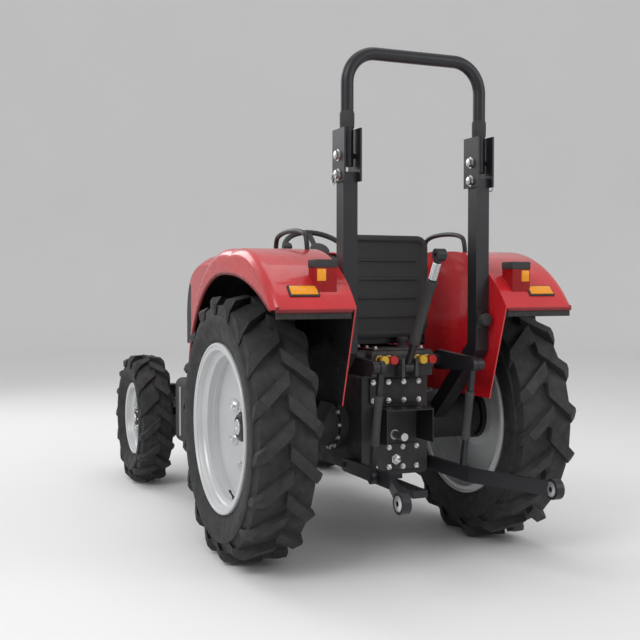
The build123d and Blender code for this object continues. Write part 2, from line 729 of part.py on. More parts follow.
# Radiator with its fan shroud, and the battery between it and the grille
CORE_FRONT = CORE_REAR + CORE_DEPTH
with BuildPart() as radiator:
    block(Block(CORE_REAR, CORE_FRONT, -RADIATOR_HALF, RADIATOR_HALF, DECK_TOP, RADIATOR_TOP))
    block(Block(CORE_REAR - SHROUD_DEPTH, CORE_REAR, -RADIATOR_HALF, RADIATOR_HALF, DECK_TOP, SHROUD_TOP))
    rod(CORE_REAR - SHROUD_DEPTH, 0, FAN_Z, (1, 0, 0), FAN_R + SHEET, SHROUD_DEPTH, Mode.SUBTRACT)
save(radiator, "radiator")

GRILLE_REAR = HOOD_NOSE - GRILLE_DEPTH
with BuildPart() as battery:
    battery_x = (CORE_FRONT + BATTERY_GAP, GRILLE_REAR - BATTERY_GAP)
    block(Block(*battery_x, -BATTERY_HALF, BATTERY_HALF, DECK_TOP, BATTERY_TOP))
save(battery, "battery")


# Hood shell, its black mask, grille and lamps
def hood_form(inset):
    """Solid form of the hood, drawn in by an inset; an inset form also runs out below and behind."""
    run_out = 5 * inset
    rear = HOOD_REAR - run_out
    low = HOOD_LOW - run_out
    nose = HOOD_NOSE - inset
    top = HOOD_TOP - inset
    half = HOOD_HALF - inset
    nose_half = NOSE_HALF - inset
    brow = (HOOD_NOSE - BROW_SETBACK, top - BROW_FALL)
    slope = 2 * atan(BROW_FALL / BROW_RUN)
    nose_radius = (nose - brow[0]) / (1 - sin(slope))
    taper_x = HOOD_NOSE - TAPER_LENGTH
    with BuildPart() as form:
        with BuildSketch(side_plane(0)):
            with BuildLine():
                Polyline((rear, low), (rear, top), (brow[0] - BROW_RUN, top))
                crown_arc = TangentArc((brow[0] - BROW_RUN, top), brow, tangent=(1, 0))
                nose_arc = TangentArc(brow, (nose, brow[1] - nose_radius * cos(slope)), tangent=crown_arc % 1)
                Polyline(nose_arc @ 1, (nose, low), (rear, low))
            make_face()
        extrude(amount=half, both=True)
        flanks = form.faces().filter_by(Axis.Y).edges()
        crown = ShapeList([e for e in flanks if e.center().X > REAR_X + rear + 1 and e.center().Z > low + 1])
        fillet(crown, radius=HOOD_ROUND - inset)
        with BuildSketch(ground_plane(low)):
            with BuildLine():
                Polyline((rear, half), (taper_x, half), (nose, nose_half), (nose, -nose_half),
                         (taper_x, -half), (rear, -half), close=True)
            make_face()
        extrude(amount=top - low, mode=Mode.INTERSECT)
    return form


hood_outer = hood_form(0)
hood_inner = hood_form(SKIN)
PAST_NOSE = HOOD_NOSE + SKIN
MASK = Block(HOOD_NOSE - MASK_DEPTH, PAST_NOSE, -HOOD_HALF, HOOD_HALF, HOOD_LOW, MASK_TOP)
GRILLE = Block(GRILLE_REAR, PAST_NOSE, -GRILLE_HALF, GRILLE_HALF, GRILLE_LOW, GRILLE_TOP)
with BuildPart() as hood:
    add(hood_outer.part)
    add(hood_inner.part, mode=Mode.SUBTRACT)
    block(MASK, Mode.SUBTRACT)
    for side in SIDES.values():
        ear_y = side * (HINGE_EAR_Y + 4 * SKIN)
        ear_low = HINGE_Z - 2 * HINGE_R
        block(Block(HOOD_REAR, HINGE_X + 3 * HINGE_R, ear_y - SKIN, ear_y + SKIN, ear_low, HOOD_TOP - SKIN))
        cross_rod(HINGE_X, ear_y, HINGE_Z, HINGE_R + FIT, SKIN, Mode.SUBTRACT)
save(hood, "hood")

with BuildPart() as grille_mask:
    add(hood_outer.part)
    add(hood_inner.part, mode=Mode.SUBTRACT)
    block(MASK, Mode.INTERSECT)
    block(GRILLE, Mode.SUBTRACT)
    for side in SIDES.values():
        lamp_y = span(side, LAMP_IN, LAMP_OUT)
        block(Block(HOOD_NOSE - LAMP_DEPTH, PAST_NOSE, *lamp_y, LAMP_LOW, LAMP_TOP), Mode.SUBTRACT)
save(grille_mask, "grille_mask")

with BuildPart() as headlamps:
    for side in SIDES.values():
        lamp_y = span(side, LAMP_IN + FIT, LAMP_OUT - FIT)
        block(Block(HOOD_NOSE - LAMP_DEPTH, PAST_NOSE, *lamp_y, LAMP_LOW + FIT, LAMP_TOP - FIT))
    add(hood_outer.part, mode=Mode.INTERSECT)
save(headlamps, "headlamps")

with BuildPart() as grille:
    grille_half = GRILLE_HALF - FIT
    back_z = (GRILLE_LOW + FIT, GRILLE_TOP - FIT)
    block(Block(GRILLE_REAR, GRILLE_REAR + SKIN, -grille_half, grille_half, *back_z))
    pitch = (GRILLE_TOP - GRILLE_LOW) / SLATS
    for row in range(SLATS):
        low = GRILLE_LOW + FIT + row * pitch
        block(Block(GRILLE_REAR, HOOD_NOSE, -grille_half, grille_half, low, low + pitch / 3))
    add(hood_outer.part, mode=Mode.INTERSECT)
save(grille, "grille")

# Dash console with the hood's hinge ears and the steering column
TILT = radians(COLUMN_TILT)
COLUMN_AXIS = (-cos(TILT), 0, sin(TILT))
with BuildPart() as dash_console:
    with BuildSketch(side_plane(0)):
        with BuildLine():
            Polyline((DASH_FRONT, BELL_TOP), (DASH_FRONT, DASH_TOP), (DASH_FRONT - DASH_SHELF, DASH_TOP),
                     (DASH_REAR, DASH_BROW_Z), (DASH_REAR + DASH_TUCK, BELL_TOP), close=True)
        make_face()
    extrude(amount=DASH_HALF, both=True)
    fillet(dash_console.edges().filter_by(Axis.Y).group_by(Axis.Z)[-1], radius=CAST_ROUND)
    for side in SIDES.values():
        ear_y = (side * HINGE_EAR_Y - SKIN, side * HINGE_EAR_Y + SKIN)
        block(Block(DASH_FRONT, HINGE_X + HINGE_R, *ear_y, DASH_EAR_Z, DASH_EAR_Z + DASH_EAR))
        block(Block(HINGE_X - HINGE_R, HINGE_X + HINGE_R, *ear_y, DASH_EAR_Z, HINGE_Z))
        rod(HINGE_X, side * (HINGE_EAR_Y - SKIN), HINGE_Z, (0, side, 0), HINGE_R, HINGE_PIN)
    rod(WHEEL_X + COLUMN_LENGTH * cos(TILT), 0, WHEEL_Z - COLUMN_LENGTH * sin(TILT), COLUMN_AXIS, SPINDLE_R,
        COLUMN_LENGTH - HUB_FLANGE - FIT)
save(dash_console, "dash_console")

with BuildPart() as steering_wheel:
    with Locations(Plane(origin=(REAR_X + WHEEL_X, 0, WHEEL_Z), x_dir=(0, 1, 0), z_dir=COLUMN_AXIS)):
        Torus(WHEEL_R, WHEEL_RIM)
        Cylinder(HALFSHAFT_R, 2 * HUB_FLANGE)
        with PolarLocations(WHEEL_R / 2, SPOKES, start_angle=-90):
            Box(WHEEL_R, HUB_FLANGE, 2 * SKIN)
save(steering_wheel, "steering_wheel")

# Footplates with their steps, and the tank and the box ahead of them
with BuildPart() as platform:
    for side in SIDES.values():
        with BuildSketch(ground_plane(FLOOR_Z)):
            with BuildLine():
                Polyline((CASE_FRONT, side * GEARBOX_HALF), (CASE_FRONT, side * FLOOR_OUT),
                         (WING_REAR, side * FLOOR_OUT), (WING_REAR, side * WING_OUT),
                         (FLOOR_FRONT, side * WING_OUT), (FLOOR_FRONT, side * (BELL_HALF + GAP)),
                         (BELL_REAR - GAP, side * (BELL_HALF + GAP)), (BELL_REAR - GAP, side * GEARBOX_HALF),
                         close=True)
            make_face()
    extrude(amount=FLOOR_SHEET)
    for side in SIDES.values():
        block(Block(STEP_REAR, STEP_FRONT, *span(side, STEP_HANGER, STEP_HANGER + SKIN), STEP_Z, FLOOR_Z))
        block(Block(STEP_REAR, STEP_FRONT, *span(side, STEP_IN, STEP_OUT), STEP_Z, STEP_Z + SKIN))
save(platform, "platform")

WHEEL_BACK = WHEELBASE - FRONT.radius
with BuildPart() as fuel_tank:
    block(Block(FLOOR_FRONT, WHEEL_BACK - TANK_SETBACK, TANK_IN, TANK_OUT, TANK_LOW, TANK_TOP))
    fillet(fuel_tank.edges().filter_by(Axis.X), radius=TANK_ROUND)
save(fuel_tank, "fuel_tank")

with BuildPart() as tool_box:
    box_front = WHEEL_BACK - TOOL_BOX_SETBACK
    block(Block(FLOOR_FRONT, box_front, -TOOL_BOX_OUT, -TANK_IN, TOOL_BOX_LOW, TOOL_BOX_TOP))
    fillet(tool_box.edges().filter_by(Axis.X), radius=CAST_ROUND)
save(tool_box, "tool_box")


# Fenders
def fender_form(side, inset):
    """Solid form of a fender drawn in by an inset, its outer top edge rounded."""
    inner = side * (FENDER_IN + inset)
    tip = (FENDER_TIP[0] - inset, FENDER_TIP[1])
    front = (FENDER_FRONT[0] - inset, FENDER_FRONT[1] - inset)
    crown = (FENDER_CROWN[0], FENDER_CROWN[1] - inset)
    back = (FENDER_BACK[0] + inset, FENDER_BACK[1] - inset)
    tail = (FENDER_TAIL[0] + inset, FENDER_TAIL[1])
    foot = FLOOR_Z + FLOOR_SHEET
    with BuildPart() as form:
        with BuildSketch(side_plane(inner)):
            with BuildLine():
                ThreePointArc(tip, front, crown)
                ThreePointArc(crown, back, tail)
                Polyline(tail, (FENDER_HEEL[0], FENDER_HEEL[1] - inset), (CASE_FRONT, FENDER_HEEL[1] - inset),
                         (CASE_FRONT, foot - inset), (tip[0], foot - inset), tip)
            make_face()
        extrude(amount=-side * (FENDER_OUT - FENDER_IN - 2 * inset))
        outer = form.faces().filter_by(Axis.Y).sort_by(Axis.Y)[-1 if side > 0 else 0]
        rim_edges = ShapeList([e for e in outer.edges() if e.geom_type == GeomType.CIRCLE])
        fillet(rim_edges, radius=FENDER_ROUND - inset)
    return form


def make_fender(side):
    """Arched fender: top skin, outer skirt and the wall beside the seat."""
    solid = fender_form(side, 0)
    hollow = fender_form(side, SKIN)
    with BuildPart() as piece:
        add(solid.part)
        add(hollow.part, mode=Mode.SUBTRACT)
        with BuildSketch(side_plane(side * (FENDER_IN + SKIN))):
            with BuildLine():
                ThreePointArc(ARCH_FRONT, ARCH_MID, ARCH_TOP)
                ThreePointArc(ARCH_TOP, ARCH_BACK, ARCH_TAIL)
                Polyline(ARCH_TAIL, (FENDER_TAIL[0] - SKIN, ARCH_TAIL[1]), (FENDER_TAIL[0] - SKIN, FLOOR_Z),
                         (FENDER_TIP[0] + SKIN, FLOOR_Z), (FENDER_TIP[0] + SKIN, ARCH_FRONT[1]), ARCH_FRONT)
            make_face()
        extrude(amount=-side * FENDER_OUT, mode=Mode.SUBTRACT)
    return piece


for side_name, side in SIDES.items():
    save(make_fender(side), f"fender_{side_name}")

# Tail lamps, cut to the curve of the fenders they stand on
with BuildPart() as tail_lamps:
    for side in SIDES.values():
        lamp_y = span(side, TAIL_LAMP_IN, TAIL_LAMP_IN + TAIL_LAMP_WIDTH)
        block(Block(TAIL_LAMP_REAR, TAIL_LAMP_FRONT, *lamp_y, TAIL_LAMP_LOW, TAIL_LAMP_TOP))
    fillet(tail_lamps.edges().group_by(Axis.Z)[-1], radius=TAIL_LAMP_ROUND)
    with BuildSketch(side_plane(-FENDER_OUT)):
        with BuildLine():
            ThreePointArc(FENDER_TIP, FENDER_FRONT, FENDER_CROWN)
            ThreePointArc(FENDER_CROWN, FENDER_BACK, FENDER_TAIL)
            Polyline(FENDER_TAIL, (FENDER_TAIL[0], FLOOR_Z), (FENDER_TIP[0], FLOOR_Z), FENDER_TIP)
        make_face()
    extrude(amount=-2 * FENDER_OUT, mode=Mode.SUBTRACT)
save(tail_lamps, "tail_lamps")

# Hydraulic lift housing with the top link's bracket
BRACKET_IN = TOP_LINK_EYE_HALF + SKIN
BRACKET_OUT = BRACKET_IN + BRACKET_PLATE
with BuildPart() as lift_housing:
    lift_top = CASE_TOP + LIFT_CASE_HEIGHT
    block(Block(LIFT_CASE_REAR, LIFT_CASE_FRONT, -LIFT_CASE_HALF, LIFT_CASE_HALF, CASE_TOP, lift_top))
    fillet(lift_housing.edges().group_by(Axis.Z)[-1], radius=CAST_ROUND)
    cross_rod(LIFT_X, 0, LIFT_Z, LIFT_BOSS_R, LINK_Y)
    cross_rod(LIFT_X, 0, LIFT_Z, LIFT_SHAFT_R + FIT, LINK_Y, Mode.SUBTRACT)
    for side in SIDES.values():
        block(Block(TOP_LINK_X - BRACKET_BACK, LIFT_CASE_REAR, *span(side, BRACKET_IN, BRACKET_OUT),
                    TOP_LINK_Z - BRACKET_HALF, TOP_LINK_Z + BRACKET_HALF))
    cross_rod(TOP_LINK_X, 0, TOP_LINK_Z, TOP_LINK_PIN_R, BRACKET_OUT + SKIN)
save(lift_housing, "lift_housing")

with BuildPart() as lift_arms:
    cross_rod(LIFT_X, 0, LIFT_Z, LIFT_SHAFT_R, LIFT_ARM_Y + LIFT_ARM_HALF)
    for side in SIDES.values():
        with BuildSketch(side_plane(side * LIFT_ARM_Y)):
            with Locations((LIFT_X, LIFT_Z)):
                Circle(LIFT_HUB_R)
            with Locations((LIFT_X - LIFT_LENGTH, LIFT_Z)):
                Circle(LIFT_TIP_R)
            make_hull()
        extrude(amount=LIFT_ARM_HALF, both=True)
        rod(LIFT_X - LIFT_LENGTH, side * LIFT_ARM_Y, LIFT_Z, (0, -side, 0), LINK_PIN_R,
            LIFT_ARM_Y - LIFT_ROD_Y + LIFT_ROD_HALF + LINK_PIN_HEAD)
save(lift_arms, "lift_arms")


def make_lower_link(side):
    """Lower link: front eye, straight bar, splayed tail and ball eye."""
    mid_y = side * LINK_Y
    ball_y = side * LINK_BALL_Y
    half = side * LINK_HALF
    with BuildPart() as piece:
        with BuildSketch(ground_plane(LINK_PIN_Z)):
            with BuildLine():
                Polyline((LINK_PIN_X, mid_y - half), (LINK_BEND_X, mid_y - half),
                         (LINK_BALL_X, ball_y - half), (LINK_BALL_X, ball_y + half),
                         (LINK_BEND_X, mid_y + half), (LINK_PIN_X, mid_y + half), close=True)
            make_face()
        extrude(amount=LINK_HALF_DEPTH, both=True)
        cross_rod(LINK_PIN_X, mid_y, LINK_PIN_Z, LINK_HALF_DEPTH, LINK_HALF)
        cross_rod(LINK_BALL_X, ball_y, LINK_PIN_Z, LINK_EYE_R, LINK_BALL_HALF)
        rod(LINK_PIN_X - LIFT_LENGTH, mid_y, LINK_PIN_Z, (0, side, 0), LINK_PIN_R,
            LIFT_ROD_Y - LINK_Y + LIFT_ROD_HALF + LINK_PIN_HEAD)
        cross_rod(LINK_PIN_X, mid_y, LINK_PIN_Z, LINK_PIN_R + FIT, LINK_HALF, Mode.SUBTRACT)
        cross_rod(LINK_BALL_X, ball_y, LINK_PIN_Z, LINK_BALL_BORE, LINK_BALL_HALF, Mode.SUBTRACT)
    return piece


def make_lift_rod(side):
    """Lift rod between a lift arm and its lower link."""
    top = (LIFT_X - LIFT_LENGTH, LIFT_Z)
    foot = (LINK_PIN_X - LIFT_LENGTH, LINK_PIN_Z)
    with BuildPart() as piece:
        with BuildSketch(side_plane(side * LIFT_ROD_Y)):
            with Locations(top, foot):
                Circle(LIFT_SHAFT_R)
            with BuildLine():
                bar = Line(top, foot)
            trace(bar, 2 * LIFT_ROD_HALF)
            with Locations(top, foot):
                Circle(LINK_PIN_R + FIT, mode=Mode.SUBTRACT)
        extrude(amount=LIFT_ROD_HALF, both=True)
    return piece


for side_name, side in SIDES.items():
    save(make_lower_link(side), f"lower_link_{side_name}")
    save(make_lift_rod(side), f"lift_rod_{side_name}")

PARK = radians(TOP_LINK_PARK)
with BuildPart() as top_link:
    end_x = TOP_LINK_X - TOP_LINK_LENGTH * cos(PARK)
    end_z = TOP_LINK_Z + TOP_LINK_LENGTH * sin(PARK)
    rod(TOP_LINK_X, 0, TOP_LINK_Z, (-cos(PARK), 0, sin(PARK)), TOP_LINK_R, TOP_LINK_LENGTH)
    for eye_x, eye_z in ((TOP_LINK_X, TOP_LINK_Z), (end_x, end_z)):
        cross_rod(eye_x, 0, eye_z, TOP_LINK_EYE_R, TOP_LINK_EYE_HALF)
    cross_rod(TOP_LINK_X, 0, TOP_LINK_Z, TOP_LINK_PIN_R + FIT, TOP_LINK_EYE_HALF, Mode.SUBTRACT)
    cross_rod(end_x, 0, end_z, TOP_LINK_BORE, TOP_LINK_EYE_HALF, Mode.SUBTRACT)
save(top_link, "top_link")

# Power take-off, its shield and the drawbar
with BuildPart() as pto_shaft:
    rod(CASE_REAR - PTO_OUT, 0, PTO_Z, (1, 0, 0), PTO_R, PTO_OUT)
    rod(CASE_REAR, 0, PTO_Z, (1, 0, 0), PTO_JOURNAL_R, PTO_JOURNAL)
save(pto_shaft, "pto_shaft")

with BuildPart() as pto_shield:
    shield_rear = CASE_REAR - SHIELD_DEPTH
    inner_half = SHIELD_HALF - SKIN
    low = PTO_Z - SHIELD_LOW
    top = PTO_Z + SHIELD_TOP
    block(Block(shield_rear, CASE_REAR, -SHIELD_HALF, SHIELD_HALF, low, top))
    block(Block(shield_rear, CASE_REAR, -inner_half, inner_half, low, top - SKIN), Mode.SUBTRACT)
save(pto_shield, "pto_shield")

with BuildPart() as drawbar:
    drawbar_top = DRAWBAR_LOW + DRAWBAR_DEPTH
    block(Block(DRAWBAR_END, DRAWBAR_FRONT, -DRAWBAR_HALF, DRAWBAR_HALF, DRAWBAR_LOW, drawbar_top))
    seat_half = DRAWBAR_SEAT_HALF
    block(Block(DRAWBAR_SEAT_REAR, DRAWBAR_FRONT, -seat_half, seat_half, drawbar_top, CASE_LOW))
    rod(DRAWBAR_END + DRAWBAR_BORE_IN, 0, DRAWBAR_LOW, (0, 0, 1), DRAWBAR_BORE, DRAWBAR_DEPTH, Mode.SUBTRACT)
save(drawbar, "drawbar")


# Roll bar: two posts on the axle tubes and the hoop that folds back
def make_rops_post(side):
    """Bent post clamped on the axle tube, with the hinge cheeks and pin."""
    cheek = ROPS_POST_HALF + CHEEK / 2
    cheek_z = (ROPS_HINGE_Z - CHEEK_HEIGHT, ROPS_HINGE_Z + CHEEK_HEIGHT)
    with BuildPart() as piece:
        with BuildSketch(side_plane(side * ROPS_Y)):
            with BuildLine():
                path = Polyline(ROPS_FOOT, (ROPS_X, ROPS_KNEE_Z), (ROPS_X, ROPS_HINGE_Z - ROPS_POST_DROP))
            trace(path, ROPS_DEPTH)
        extrude(amount=ROPS_POST_HALF, both=True)
        for y in (side * ROPS_Y - cheek, side * ROPS_Y + cheek):
            block(Block(ROPS_X - CHEEK_HALF, ROPS_X + CHEEK_HALF, y - CHEEK / 2, y + CHEEK / 2, *cheek_z))
        cross_rod(ROPS_X, side * ROPS_Y, ROPS_HINGE_Z, ROPS_PIN_R, ROPS_POST_HALF + ROPS_PIN_OUT)
        cross_rod(0, side * ROPS_Y, REAR.radius, TRUMPET_R + FIT, 2 * ROPS_POST_HALF, Mode.SUBTRACT)
    return piece


for side_name, side in SIDES.items():
    save(make_rops_post(side), f"rops_post_{side_name}")

with BuildPart() as rops_hoop:
    foot_z = ROPS_HINGE_Z - ROPS_HOOP_DROP
    bar_z = ROPS_TOP - ROPS_R
    hoop_x = REAR_X + ROPS_X
    with BuildLine() as hoop_path:
        FilletPolyline((hoop_x, ROPS_Y, foot_z), (hoop_x, ROPS_Y, bar_z), (hoop_x, -ROPS_Y, bar_z),
                       (hoop_x, -ROPS_Y, foot_z), radius=ROPS_BEND)
    with BuildSketch(Plane(origin=(hoop_x, ROPS_Y, foot_z), z_dir=(0, 0, 1))):
        Circle(ROPS_R)
    sweep(path=hoop_path.wires()[0])
    cross_rod(ROPS_X, 0, ROPS_HINGE_Z, ROPS_PIN_R + FIT, 2 * ROPS_Y, Mode.SUBTRACT)
save(rops_hoop, "rops_hoop")

# Seat: pedestal and pan, cushion and backrest
PAN_TOP = PAN_Z + PAN_SHEET
BACKREST_REAR = PAN_REAR + PAN_BACK
with BuildPart() as seat_base:
    block(Block(PEDESTAL_REAR, PEDESTAL_FRONT, -PEDESTAL_HALF, PEDESTAL_HALF, CASE_TOP, PAN_Z))
    block(Block(PAN_REAR, PAN_FRONT, -PAN_HALF, PAN_HALF, PAN_Z, PAN_TOP))
    block(Block(PAN_REAR, BACKREST_REAR, -PAN_HALF, PAN_HALF, PAN_TOP, PAN_BACK_TOP))
save(seat_base, "seat_base")

with BuildPart() as seat_cushion:
    block(Block(CUSHION_REAR, CUSHION_FRONT, -CUSHION_HALF, CUSHION_HALF, PAN_TOP + FIT, CUSHION_TOP))
    fillet(seat_cushion.edges().filter_by(Axis.Z), radius=CUSHION_ROUND)
save(seat_cushion, "seat_cushion")

with BuildPart() as seat_back:
    backrest_x = (BACKREST_REAR + FIT, BACKREST_FRONT)
    block(Block(*backrest_x, -BACKREST_HALF, BACKREST_HALF, BACKREST_LOW, BACKREST_TOP))
    fillet(seat_back.edges().filter_by(Axis.X), radius=BACKREST_ROUND)
save(seat_back, "seat_back")

# Exhaust: down from the manifold, out under the hood's edge and up through the muffler
with BuildPart() as exhaust:
    rod(STACK_X, -STACK_Y, MUFFLER_LOW, (0, 0, 1), MUFFLER_R, MUFFLER_TOP - MUFFLER_LOW)
    fillet(exhaust.edges().filter_by(GeomType.CIRCLE), radius=MUFFLER_ROUND)
    outlet = (REAR_X + OUTLET_X, EXHAUST_LOG.y0, OUTLET_Z)
    with BuildLine() as pipe_path:
        FilletPolyline(outlet, (REAR_X + OUTLET_X, -PIPE_Y, OUTLET_Z),
                       (REAR_X + OUTLET_X, -PIPE_Y, PIPE_LOW), (REAR_X + STACK_X, -STACK_Y, PIPE_LOW),
                       (REAR_X + STACK_X, -STACK_Y, MUFFLER_LOW + SKIN), radius=PIPE_BEND)
    with BuildSketch(Plane(origin=outlet, z_dir=(0, -1, 0))):
        Circle(PIPE_R)
    sweep(path=pipe_path.wires()[0])
    stack = (REAR_X + STACK_X, -STACK_Y, MUFFLER_TOP - SKIN)
    tip = (REAR_X + STACK_X + TAILPIPE_TIP[0], -STACK_Y, TAILPIPE_Z + TAILPIPE_TIP[1])
    with BuildLine() as tail_path:
        FilletPolyline(stack, (REAR_X + STACK_X, -STACK_Y, TAILPIPE_Z), tip, radius=TAILPIPE_BEND)
    with BuildSketch(Plane(origin=stack, z_dir=(0, 0, 1))):
        Circle(TAILPIPE_R)
    sweep(path=tail_path.wires()[0])
save(exhaust, "exhaust")

# Pedals and levers
with BuildPart() as controls:
    for lever in LEVERS:
        lever_x = BELL_REAR - lever.setback
        length = sqrt(lever.lean**2 + lever.height**2)
        rod(lever_x, lever.y, GEARBOX_TOP + GAP, (lever.lean, 0, lever.height), LEVER_R, length)
        rod(lever_x, lever.y, GEARBOX_TOP, (0, 0, 1), lever.knob, LEVER_BOSS)
        with Locations((REAR_X + lever_x + lever.lean, lever.y, GEARBOX_TOP + lever.height)):
            Sphere(lever.knob)
    pedal_front = PEDAL_X + PEDAL_LENGTH
    for y in PEDAL_Y:
        stem_y = (y - PEDAL_STEM / 2, y + PEDAL_STEM / 2)
        block(Block(pedal_front - PEDAL_STEM, pedal_front, *stem_y, FLOOR_Z + FLOOR_SHEET, PEDAL_Z))
        block(Block(PEDAL_X, pedal_front, y - PEDAL_HALF, y + PEDAL_HALF, PEDAL_Z, PEDAL_Z + PEDAL_PLATE))
save(controls, "controls")
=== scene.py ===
"""Dresses the compact tractor: finishes, fittings, seat and studio, in metres in the part's own frame."""

import logging
import math
from contextlib import contextmanager
from dataclasses import dataclass
from enum import Enum
from functools import cache, cached_property
from typing import Callable, Iterator

import bmesh
import bpy
from mathutils import Matrix, Vector


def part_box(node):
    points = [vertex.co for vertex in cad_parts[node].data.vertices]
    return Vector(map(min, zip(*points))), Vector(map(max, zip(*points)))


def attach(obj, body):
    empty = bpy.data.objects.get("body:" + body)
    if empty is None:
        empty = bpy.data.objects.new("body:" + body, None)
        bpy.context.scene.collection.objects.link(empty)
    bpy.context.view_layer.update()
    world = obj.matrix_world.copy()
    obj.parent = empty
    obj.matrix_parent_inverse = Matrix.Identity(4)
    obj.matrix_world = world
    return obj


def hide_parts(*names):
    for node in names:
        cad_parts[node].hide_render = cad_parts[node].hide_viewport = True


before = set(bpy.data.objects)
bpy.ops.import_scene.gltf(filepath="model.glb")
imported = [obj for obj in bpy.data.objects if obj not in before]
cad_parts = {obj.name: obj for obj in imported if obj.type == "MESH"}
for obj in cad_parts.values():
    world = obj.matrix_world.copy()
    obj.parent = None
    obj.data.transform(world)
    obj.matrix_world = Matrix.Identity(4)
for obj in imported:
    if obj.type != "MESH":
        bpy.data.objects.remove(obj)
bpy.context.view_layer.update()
LOG = logging.getLogger("tractor")
Colour = tuple[float, float, float]
Place = tuple[Vector, Vector]
TURN = 2 * math.pi
UP = Vector((0.0, 0.0, 1.0))
DOWN = Vector((0.0, 0.0, -1.0))
AHEAD = Vector((1.0, 0.0, 0.0))
BACK = Vector((-1.0, 0.0, 0.0))


class Side(Enum):
    """The driver's two hands; the value is the sign of y."""

    LEFT = 1
    RIGHT = -1

    @property
    def word(self) -> str:
        """The side's name in node names."""
        return self.name.lower()

    @property
    def out(self) -> Vector:
        """Away from the tractor's middle."""
        return Vector((0, self.value, 0))


@dataclass(frozen=True)
class Datum:
    """Where the axles stand, read from the wheels."""

    rear: Vector
    front: Vector

    def at(self, x: float, y: float, z: float) -> Vector:
        """Point given by its distance ahead of the rear axle."""
        return Vector((self.rear.x + x, y, z))


def middle(node: str) -> Vector:
    """Centre of a node's box."""
    low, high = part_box(node)
    return (low + high) / 2


DATUM = Datum(middle("rim_rear_left"), middle("rim_front_left"))


# Bench: how pieces are modelled

def deselect() -> None:
    """Clears the selection before an operator adds or joins anything."""
    bpy.ops.object.select_all(action="DESELECT")


def fresh(name: str) -> bpy.types.Object:
    """Names the object that an operator has just added.

    Args:
        name: The piece's name.

    Returns:
        The active object.
    """
    piece = bpy.context.active_object
    piece.name = name
    piece.data.name = name
    return piece


def choose(*pieces: bpy.types.Object) -> None:
    """Selects these pieces alone, the first of them active."""
    deselect()
    for piece in pieces:
        piece.select_set(True)
    bpy.context.view_layer.objects.active = pieces[0]


def settle(piece: bpy.types.Object) -> None:
    """Puts a piece's place, turn and size into its mesh."""
    choose(piece)
    bpy.ops.object.transform_apply(location=True, rotation=True, scale=True)


def aim(point: Vector, axis: Vector) -> Matrix:
    """Matrix that stands a piece's own z along an axis at a point.

    Args:
        point: Where the piece's origin goes.
        axis: Where its z points.

    Returns:
        The placing matrix.
    """
    turn = UP.rotation_difference(Vector(axis).normalized())
    return Matrix.Translation(point) @ turn.to_matrix().to_4x4()


@contextmanager
def editing(piece: bpy.types.Object) -> Iterator[bmesh.types.BMesh]:
    """Opens a piece in edit mode.

    Args:
        piece: The piece to shape.

    Returns:
        The edit mesh, for choosing what the next operator acts on.
    """
    choose(piece)
    bpy.ops.object.mode_set(mode="EDIT")
    yield bmesh.from_edit_mesh(piece.data)
    bpy.ops.object.mode_set(mode="OBJECT")


def pick_faces(mesh: bmesh.types.BMesh, test: Callable[[Vector, Vector], bool]) -> None:
    """Selects faces by their centre and normal.

    Args:
        mesh: The edit mesh.
        test: Takes a face's centre and normal, and says whether it is wanted.
    """
    bpy.ops.mesh.select_mode(type="FACE")
    bpy.ops.mesh.select_all(action="DESELECT")
    mesh.normal_update()
    for face in mesh.faces:
        face.select_set(test(face.calc_center_median(), face.normal))


def apply(piece: bpy.types.Object, modifier: bpy.types.Modifier) -> None:
    """Applies a modifier to its piece."""
    choose(piece)
    bpy.ops.object.modifier_apply(modifier=modifier.name)


def round_edges(piece: bpy.types.Object, width: float, segments: int = 2, angle: float = 30.0) -> None:
    """Rounds the sharp edges of a piece.

    Args:
        piece: The piece.
        width: Width of the rounding.
        segments: Faces across it.
        angle: Edges turning by more than this many degrees are rounded.
    """
    modifier = piece.modifiers.new("edge", "BEVEL")
    modifier.width = width
    modifier.segments = segments
    modifier.limit_method = "ANGLE"
    modifier.angle_limit = math.radians(angle)
    apply(piece, modifier)


def block(name: str, low: Vector, high: Vector, edge: float = 0.003, segments: int = 2) -> bpy.types.Object:
    """Block with rounded edges between two corners.

    Args:
        name: The piece's name.
        low: One corner.
        high: The opposite corner.
        edge: Width of the rounding; nought leaves the edges sharp.
        segments: Faces across the rounding.

    Returns:
        The piece.
    """
    low, high = Vector(low), Vector(high)
    deselect()
    bpy.ops.mesh.primitive_cube_add(size=1, location=(low + high) / 2)
    piece = fresh(name)
    piece.scale = [abs(side) for side in high - low]
    settle(piece)
    if edge > 0:
        round_edges(piece, edge, segments)
    return piece


def pad(name: str, place: Place, size: Vector, edge: float = 0.003) -> bpy.types.Object:
    """Rounded block standing on a point along a normal.

    Args:
        name: The piece's name.
        place: Foot point and normal.
        size: Two widths and the height along the normal.
        edge: Width of the rounding.

    Returns:
        The piece.
    """
    size = Vector(size)
    piece = block(name, (-size.x / 2, -size.y / 2, 0), (size.x / 2, size.y / 2, size.z), edge)
    piece.data.transform(aim(*place))
    return piece


